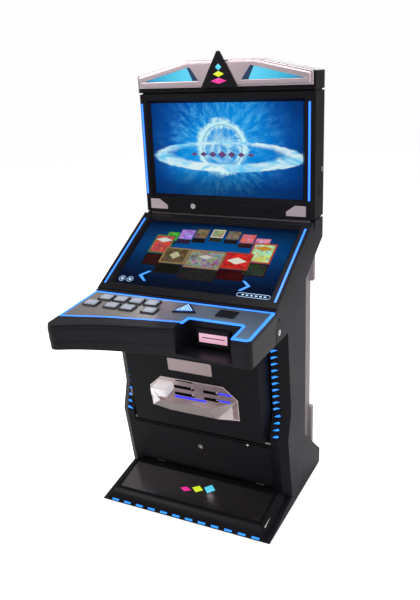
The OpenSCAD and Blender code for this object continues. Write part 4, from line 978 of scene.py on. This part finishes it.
class BuildUpperBox(MachineOperator, bpy.types.Operator):
    """Upper box with its picture, glass, corner plates and blank plate"""

    bl_idname = "machine.build_upper_box"
    bl_label = "Upper box"

    def execute(self, context):
        edge = sizes().sheet_edge
        refined("upper_case", "upper_case_soft", "cabinet", "paint", edge)
        refined("upper_door_frame", "upper_frame_soft", "upper_door", "paint", edge)
        refined("corner_plates", "corner_plates_soft", "upper_door", "bright", sizes().fine_edge)
        screen = refined("upper_display", "upper_screen", "upper_door", "dark_plastic", 0)
        picture(screen, "burst_picture", (0, -1, 0))
        low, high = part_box("upper_glass")
        outline = [(low.x, low.z), (high.x, low.z), (high.x, high.z), (low.x, high.z)]
        pane = plate("upper_pane", outline, 3.4 * MM, upright(low.y + 0.1 * MM))
        hand_over(pane, "upper_door", "clear_glass", ("upper_glass",))
        self.marks()
        blank_outline = mm(round_outline(143, 1075, 168, 27, 3))
        blank = plate("blank_plate", blank_outline, 0.5 * MM, upright(FACE - 0.35 * MM), 0.15 * MM)
        hand_over(blank, "upper_door", "paint")
        return {"FINISHED"}

    def marks(self):
        """A row of plain lozenges across the disc of light, smaller towards its ends."""
        front = upright(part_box("upper_display")[0].y - 0.05 * MM)
        place = front @ Matrix.Translation((0, UPPER_PICTURE.z - 16 * MM, 0))
        marks = []
        for k in range(-3, 4):
            outline = lozenge(BURST_X + 38 * k, 0, 36 - 3 * abs(k), 26 - 4 * abs(k))
            marks.append(plate("mark", mm(outline), 0.2 * MM, place))
        hand_over(joined("upper_marks", marks), "upper_door", "violet")


def picture(piece, look, normal):
    """Puts a picture on the face of a display that looks along normal."""
    piece.data.materials.append(finish(look))
    front = Vector(normal)
    for polygon in piece.data.polygons:
        if polygon.normal.dot(front) > 0.9:
            polygon.material_index = 1
    return piece


class BuildSign(MachineOperator, bpy.types.Operator):
    """Top sign with its frame, plaque and emblem"""

    bl_idname = "machine.build_sign"
    bl_label = "Top sign"

    def execute(self, context):
        refined("sign_case", "sign_case_soft", "cabinet", "paint", sizes().sheet_edge)
        refined("sign_frame", "sign_frame_soft", "cabinet", "bright", 2.4 * MM, 3)
        refined("sign_plaque", "plaque_soft", "cabinet", "gloss_black", 1.2 * MM, 2)
        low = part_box("sign_plaque")[0]
        place = upright(low.y - 0.5 * MM) @ Matrix.Translation((0, low.z, 0))
        shapes = [(0, 22, 62, 20), (0, 45, 42, 20), (0, 68, 24, 22)]
        emblem("plaque_emblem", place, shapes)
        return {"FINISHED"}


def emblem(name, place, shapes):
    """Three plain lozenges in three colours, printed, with a glow of their own that is painted
    light.
    """
    for (x, y, w, h), look in zip(shapes, ("emblem_rose", "emblem_lime", "emblem_cyan")):
        mark = plate(f"{name}_{look}", mm(lozenge(x, y, w, h)), 0.8 * MM, place, 0.2 * MM)
        hand_over(mark, "cabinet", look)


class BuildLid(MachineOperator, bpy.types.Operator):
    """Sloping lid with its picture, game tiles and glass"""

    bl_idname = "machine.build_lid"
    bl_label = "Sloping lid"

    def execute(self, context):
        refined("lid_frame", "lid_soft", "lid", "paint", sizes().sheet_edge)
        up = (0, -math.sin(LID_SLOPE), math.cos(LID_SLOPE))
        screen = refined("lower_display", "lower_screen", "lid", "dark_plastic", 0)
        picture(screen, "lobby_picture", up)
        pane_outline = mm(box_outline(0, PICTURE_FOOT + PICTURE_HEIGHT / 2, 619, 357))
        pane = plate("lower_pane", pane_outline, 2.8 * MM, ON_LID @ shift(0, 0, -12.1))
        hand_over(pane, "lid", "clear_glass", ("lower_glass",))
        self.tiles()
        self.signs()
        return {"FINISHED"}

    def tiles(self):
        """The row of game tiles, each over its dim reflection, and the shapes on the near ones."""
        gold, cream, rust = (0.32, 0.20, 0.07), (0.75, 0.70, 0.55), (0.35, 0.05, 0.02)
        rows = [
            # x, v, width, height, level, border, middle
            (-122, 320, 56, 50, 0, (0.30, 0.20, 0.55), (0.32, 0.16, 0.62)),
            (-63, 330, 52, 49, 0, (0.10, 0.07, 0.05), (0.16, 0.11, 0.07)),
            (1, 336, 50, 42, 0, cream, (0.25, 0.28, 0.12)),
            (64, 333, 52, 44, 0, (0.12, 0.08, 0.06), (0.14, 0.10, 0.09)),
            (125, 321, 54, 46, 0, (0.40, 0.10, 0.08), (0.55, 0.14, 0.16)),
            (185, 312, 56, 32, 0, (0.45, 0.12, 0.20), (0.50, 0.20, 0.28)),
            (-177, 305, 50, 46, 0, (0.05, 0.22, 0.03), (0.06, 0.30, 0.03)),
            (-202, 260, 84, 98, 1, (0.05, 0.16, 0.05), (0.40, 0.06, 0.05)),
            (201, 255, 88, 98, 1, (0.45, 0.06, 0.03), (0.35, 0.55, 0.30)),
            (-124, 206, 103, 80, 2, gold, (0.075, 0.065, 0.03)),
            (0, 200, 140, 90, 2, gold, (0.20, 0.19, 0.18)),
            (123, 207, 104, 82, 2, rust, (0.50, 0.015, 0.012)),
        ]
        shapes = [
            # x, v, width, height, colour
            (123, 207, 76, 34, (0.75, 0.72, 0.62)),
            (0, 212, 60, 22, (0.55, 0.56, 0.52)),
            (-124, 208, 44, 40, (0.50, 0.47, 0.28)),
            (-202, 282, 70, 26, (0.62, 0.72, 0.62)),
            (201, 278, 74, 26, (0.55, 0.25, 0.03)),
            (201, 226, 60, 26, (0.60, 0.62, 0.12)),
        ]
        made = []
        for x, v, w, h, level, border, middle in rows:
            made.append(self.tile(x, v, w, h, level, border, middle, 1.0))
            drop = h * (0.62 if level else 0.45)
            below = v - h / 2 - drop / 2 - 2
            made.append(self.tile(x, below, w, drop, 0, border, middle, 0.05))
        for x, v, w, h, colour in shapes:
            place = shift(0, 0, PICTURE_LEVEL + 0.85)
            shape = plate("shape", mm(lozenge(x, v, w, h)), 0.2 * MM, place)
            paint_faces(shape, lambda polygon, colour=colour: (*colour, 0.0))
            made.append(shape)
        piece = joined("game_tiles", made)
        piece.data.transform(ON_LID)
        hand_over(piece, "lid", "tile_art")

    def tile(self, x, v, w, h, level, border, middle, gain):
        """One tile: a thin plate whose face is inset to leave a border."""
        place = shift(0, 0, PICTURE_LEVEL + 0.25 * level)
        piece = plate("tile", mm(box_outline(x, v, w, h)), 0.12 * MM, place)
        edit_all(piece)
        bpy.ops.mesh.select_all(action="DESELECT")
        leave()
        for polygon in piece.data.polygons:
            polygon.select = polygon.normal.z > 0.9
        pick(piece)
        bpy.ops.object.mode_set(mode="EDIT")
        bpy.ops.mesh.inset(thickness=min(w, h) * 0.075 * MM, depth=0)
        leave()
        upper_face = max(piece.data.polygons, key=lambda face: (face.select, face.normal.z))
        inner = upper_face.index

        def shade(polygon):
            colour = middle if polygon.index == inner else border
            return (*[part * gain for part in colour], 1.0 if polygon.index == inner else 0.0)

        paint_faces(piece, shade)
        return piece

    def signs(self):
        """Arrows at both ends of the row, two round keys and a long one under it."""
        place = ON_LID @ shift(0, 0, PICTURE_LEVEL + 0.55)
        depth = 0.3 * MM
        arrows = [
            plate("arrow", mm(points), depth, place)
            for points in (
                [(-193, 119), (-223, 94), (-193, 69), (-181, 69), (-208, 94), (-181, 119)],
                [(176, 118), (188, 118), (214, 97), (188, 73), (176, 73), (200, 97)],
            )
        ]
        hand_over(joined("arrows", arrows), "lid", "arrow_light")
        keys = []
        for places, w, h, r in (
            ([(-281, 70), (-248, 70)], 25, 25, 12.4),
            ([(238, 57)], 120, 18, 8.9),
        ):
            outer = mm(round_outline(0, 0, w, h, r))
            inner = mm(round_outline(0, 0, w - 3, h - 3, r - 1.5))
            ring = ring_plate("ring", outer, inner, depth, Matrix.Identity(4))
            keys += repeated(ring, [place @ shift(x, y) for x, y in places])
        for places, w, h, r in (
            ([(-281, 70), (-248, 70)], 9, 11, 4),
            ([(x, 57) for x in range(200, 281, 16)], 9, 5, 2.4),
        ):
            dot = plate("dot", mm(round_outline(0, 0, w, h, r)), depth, Matrix.Identity(4))
            keys += repeated(dot, [place @ shift(x, y) for x, y in places])
        hand_over(joined("screen_keys", keys), "lid", "ice_light")


def paint_faces(piece, colour_of):
    """Stores one colour per face, its alpha saying how far the pattern shows."""
    layer = piece.data.color_attributes.new("shade", "FLOAT_COLOR", "CORNER")
    for polygon in piece.data.polygons:
        value = colour_of(polygon)
        for loop in polygon.loop_indices:
            layer.data[loop].color = value


class BuildDoors(MachineOperator, bpy.types.Operator):
    """Front doors with the name plate, the coin tray and a small screw"""

    bl_idname = "machine.build_doors"
    bl_label = "Front doors"

    def execute(self, context):
        edge = sizes().sheet_edge
        refined("belly_door", "belly_door_soft", "belly_door", "paint", edge)
        refined("door_plate", "door_plate_soft", "belly_door", "plate_metal", sizes().fine_edge)
        refined("cash_door", "cash_door_soft", "cash_door", "paint", edge)
        tray = refined("coin_tray", "coin_tray_soft", "belly_door", "worn_plate", sizes().fine_edge)
        self.guide(tray)
        self.payout()
        screw_outline = mm(round_outline(196, 175, 9, 9, 4.4))
        screw = plate("door_screw", screw_outline, 1.2 * MM, ON_CASH @ shift(0, 0, 7.4), 0.5 * MM)
        hand_over(screw, "cash_door", "chrome")
        return {"FINISHED"}

    def guide(self, tray):
        """The coin guide is polished white and glows as a painted highlight, so its faces take
        their own material.
        """
        tray.data.materials.append(finish("white_guide"))
        inverse = ON_BELLY.inverted()
        for polygon in tray.data.polygons:
            x, y, z = (inverse @ polygon.center) / MM
            if -165 < x < -101 and 139 < y < 171 and z > TRAY_BACK + 0.1:
                polygon.material_index = 1

    def payout(self):
        """Black slots as painted shade for the openings in the tray back, chrome pins and the blue
        glow behind the tray.
        """
        outlines = [
            round_outline(x, y, w, 13, 4) for x, w in ((-58, 84), (52, 60)) for y in (122, 152)
        ]
        outlines.append([(-92, 178), (-80, 196), (-30, 196), (-14, 178)])
        back = ON_BELLY @ shift(0, 0, TRAY_BACK)
        # black plates where the tray back has openings: painted shade
        slots = [plate("slot", mm(outline), 0.3 * MM, back) for outline in outlines]
        hand_over(joined("payout_slots", slots), "belly_door", "slot_black")

        places = [shift(x, y, -34) for x in (-20, 80) for y in (160, 130)]
        pins = repeated(self.pin(4.6, 1.3), [ON_BELLY @ place for place in places])
        pins = joined("payout_pins", pins)
        smooth(pins, 60)
        hand_over(pins, "belly_door", "chrome")

        bars = ((-35, 108, 130, 8), (108, 123, 44, 6), (113, 155, 54, 6))
        front = ON_BELLY @ shift(0, 0, TRAY_BACK + 0.4)
        glows = [plate("glow", mm(box_outline(*bar)), 0.3 * MM, front) for bar in bars]
        hand_over(joined("tray_glow", glows), "belly_door", "tray_glow")

    def pin(self, r, stretch):
        """A domed pin, turned from half a circle and drawn out along its length."""
        pin = outlined(mm(round_points(r, 24, math.pi / 2)), "NOTHING")
        edit_all(pin)
        bpy.ops.mesh.select_all(action="DESELECT")
        leave()
        for vertex in pin.data.vertices:
            vertex.select = vertex.co.x < -0.01 * MM
        pick(pin)
        bpy.ops.object.mode_set(mode="EDIT")
        bpy.ops.mesh.delete(type="VERT")
        leave()
        pin.data.transform(Matrix.Rotation(math.pi / 2, 4, "X"))
        spun(pin, 20)
        pin.data.transform(Matrix.Diagonal((1, 1, stretch, 1)))
        return pin


class BuildLocks(MachineOperator, bpy.types.Operator):
    """Chrome cam locks"""

    bl_idname = "machine.build_locks"
    bl_label = "Locks"

    def execute(self, context):
        for name in ("door_lock", "cash_lock", "deck_lock", "case_lock"):
            refined(name, f"{name}_soft", name, "chrome", 0.6 * MM, 2)
        return {"FINISHED"}


class BuildFootMark(MachineOperator, bpy.types.Operator):
    """Three plain lozenges on the foot plate"""

    bl_idname = "machine.build_foot_mark"
    bl_label = "Foot mark"

    def execute(self, context):
        low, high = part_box("kick_plate")
        middle = Vector((0, (low.y + high.y) / 2, (low.z + high.z) / 2 + 1.5 * MM))
        shapes = [(-44, -8, 46, 24), (0, 6, 46, 34), (44, 20, 46, 44)]
        emblem("foot_emblem", tilted(middle, FOOT_LEAN) @ shift(8, 2, 0.6), shapes)
        return {"FINISHED"}


class BuildRear(MachineOperator, bpy.types.Operator):
    """Louvres in the rear door and the guard over the fan"""

    bl_idname = "machine.build_rear"
    bl_label = "Rear fittings"

    def execute(self, context):
        self.louvres()
        self.guard()
        return {"FINISHED"}

    def louvres(self):
        """Two groups of black slats on the rear door, painted shade for its vent openings."""
        low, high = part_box("rear_door")
        rear = tilted((0, high.y, 0), math.pi / 2) @ Matrix.Rotation(math.pi, 4, "Y")
        pitch = 16 * MM
        places = [
            rear @ Matrix.Translation((0, low.z + (high.z - low.z) * share + pitch * k, 0))
            for share in (0.22, 0.62) for k in range(-4, 5)
        ]
        # each slat is a black plate standing for the shade in a vent opening
        slat = plate("slat", mm(round_outline(0, 0, 200, 6, 2.8)), 0.5 * MM, shift(0, 0, 0.3))
        louvres = joined("rear_louvres", repeated(slat, places))
        hand_over(louvres, "rear_door", "slot_black")

    def guard(self):
        """Wire rings over the fan, with two bars across them."""
        low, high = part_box("fan_frame")
        middle = Matrix.Translation((0, REAR, (low.z + high.z) / 2))
        wire, length = 0.9, 108
        parts = []
        for r in (16, 28, 40, 52):
            ring = outlined(mm(round_points(wire, 8)), "NOTHING")
            ring.data.transform(shift(r, 0) @ Matrix.Rotation(math.pi / 2, 4, "X"))
            spun(ring, 48)
            ring.data.transform(middle @ shift(0, -2.4) @ Matrix.Rotation(math.pi / 2, 4, "X"))
            parts.append(ring)
        bar_outline = mm(round_points(wire, 10, math.pi / 2))
        bar = plate("bar", bar_outline, length * MM, shift(0, 0, length / 2))
        behind = middle @ shift(0, -3.4)
        parts += repeated(bar, [behind, behind @ Matrix.Rotation(math.pi / 2, 4, "Y")])
        guard = joined("fan_guard", parts)
        smooth(guard, 50)
        hand_over(guard, "cabinet", "chrome")


class BuildStage(MachineOperator, bpy.types.Operator):
    """Floor, soft studio light and the camera"""

    bl_idname = "machine.build_stage"
    bl_label = "Stage"

    def execute(self, context):
        self.floor()
        self.studio(context)
        self.lamps(context)
        self.camera(context)
        context.scene.view_settings.view_transform = "Standard"
        return {"FINISHED"}

    def floor(self):
        """Plain pale floor that reads as white to the camera."""
        deselect()
        bpy.ops.mesh.primitive_plane_add(size=30)
        floor = bpy.context.object
        floor.name = "stage_floor"
        look = Finish("pale_floor", Roughness=0.7, Emission_Color=(1, 1, 1, 1))
        seen = look.add("ShaderNodeLightPath").outputs["Is Camera Ray"]
        look.set(Emission_Strength=look.times(seen, 0.72))
        look.set(Base_Color=look.mix(look.noise(2.0), (0.86, 0.86, 0.87, 1), (0.9, 0.9, 0.91, 1)))
        floor.data.materials.append(look.material)

    def studio(self, context):
        """A world that is white to the camera and dimmer as light."""
        world = context.scene.world or bpy.data.worlds.new("studio")
        context.scene.world = world
        world.use_nodes = True
        nodes, links = world.node_tree.nodes, world.node_tree.links
        sky = nodes["Background"]
        sky.inputs[0].default_value = (1, 0.985, 0.99, 1)
        path = nodes.new("ShaderNodeLightPath")
        level = nodes.new("ShaderNodeMapRange")
        level.inputs["To Min"].default_value = 0.30
        level.inputs["To Max"].default_value = 1.0
        links.new(path.outputs["Is Camera Ray"], level.inputs["Value"])
        links.new(level.outputs[0], sky.inputs["Strength"])

    def lamps(self, context):
        """Large soft lamps round the machine, all aimed at its middle."""
        middle = Vector((0, 0, 0.85))
        for name, place, size, power, colour in (
            ("key", (-2.6, -2.6, 3.4), 2.2, 95, (1, 0.98, 0.97)),
            ("fill", (3.2, -1.8, 2.2), 1.8, 48, (1, 0.95, 1.0)),
            ("top", (0.2, 0.4, 3.8), 1.8, 50, (1, 1, 1)),
            ("rear", (-1.0, 3.2, 2.2), 2.0, 60, (1, 1, 1)),
        ):
            lamp = bpy.data.lights.new(name, "AREA")
            lamp.size, lamp.energy, lamp.color = size, power, colour
            holder = bpy.data.objects.new(name, lamp)
            context.collection.objects.link(holder)
            holder.location = place
            aim = middle - Vector(place)
            holder.rotation_euler = aim.to_track_quat("-Z", "Y").to_euler()

    def camera(self, context):
        """A standing viewer's camera, to the right of the machine and above it."""
        camera = bpy.data.objects.new("camera", bpy.data.cameras.new("camera"))
        context.collection.objects.link(camera)
        camera.data.lens = 40.92
        camera.data.sensor_width = 36
        camera.location = (1.0698, REAR - 2.3817, 1.5766)
        camera.rotation_euler = [math.radians(angle) for angle in (70.959, 2.281, 26.003)]
        context.scene.camera = camera


STEPS = (
    FinishInside, BuildCabinet, BuildDeck, BuildButtons, BuildUpperBox, BuildSign, BuildLid,
    BuildDoors, BuildLocks, BuildFootMark, BuildRear, BuildStage,
)


class MachinePanel(bpy.types.Panel):
    """Sidebar panel that lists the steps of the machine"""

    bl_idname = "VIEW3D_PT_machine"
    bl_label = "Machine"
    bl_space_type = "VIEW_3D"
    bl_region_type = "UI"
    bl_category = "Machine"

    def draw(self, context):
        for group in (context.scene.machine_sizes, context.scene.machine_colours):
            for name in group.bl_rna.properties.keys():
                if name not in ("rna_type", "name"):
                    self.layout.prop(group, name)
        for step in STEPS:
            self.layout.operator(step.bl_idname)


CLASSES = (MachineSizes, MachineColours, *STEPS, MachinePanel)


def register():
    for item in CLASSES:
        bpy.utils.register_class(item)
    bpy.types.Scene.machine_sizes = bpy.props.PointerProperty(type=MachineSizes)
    bpy.types.Scene.machine_colours = bpy.props.PointerProperty(type=MachineColours)


def unregister():
    del bpy.types.Scene.machine_colours
    del bpy.types.Scene.machine_sizes
    for item in reversed(CLASSES):
        bpy.utils.unregister_class(item)


def main():
    register()
    for step in STEPS:
        group, name = step.bl_idname.split(".")
        getattr(getattr(bpy.ops, group), name)()
    deselect()


if __name__ == "__main__":
    main()
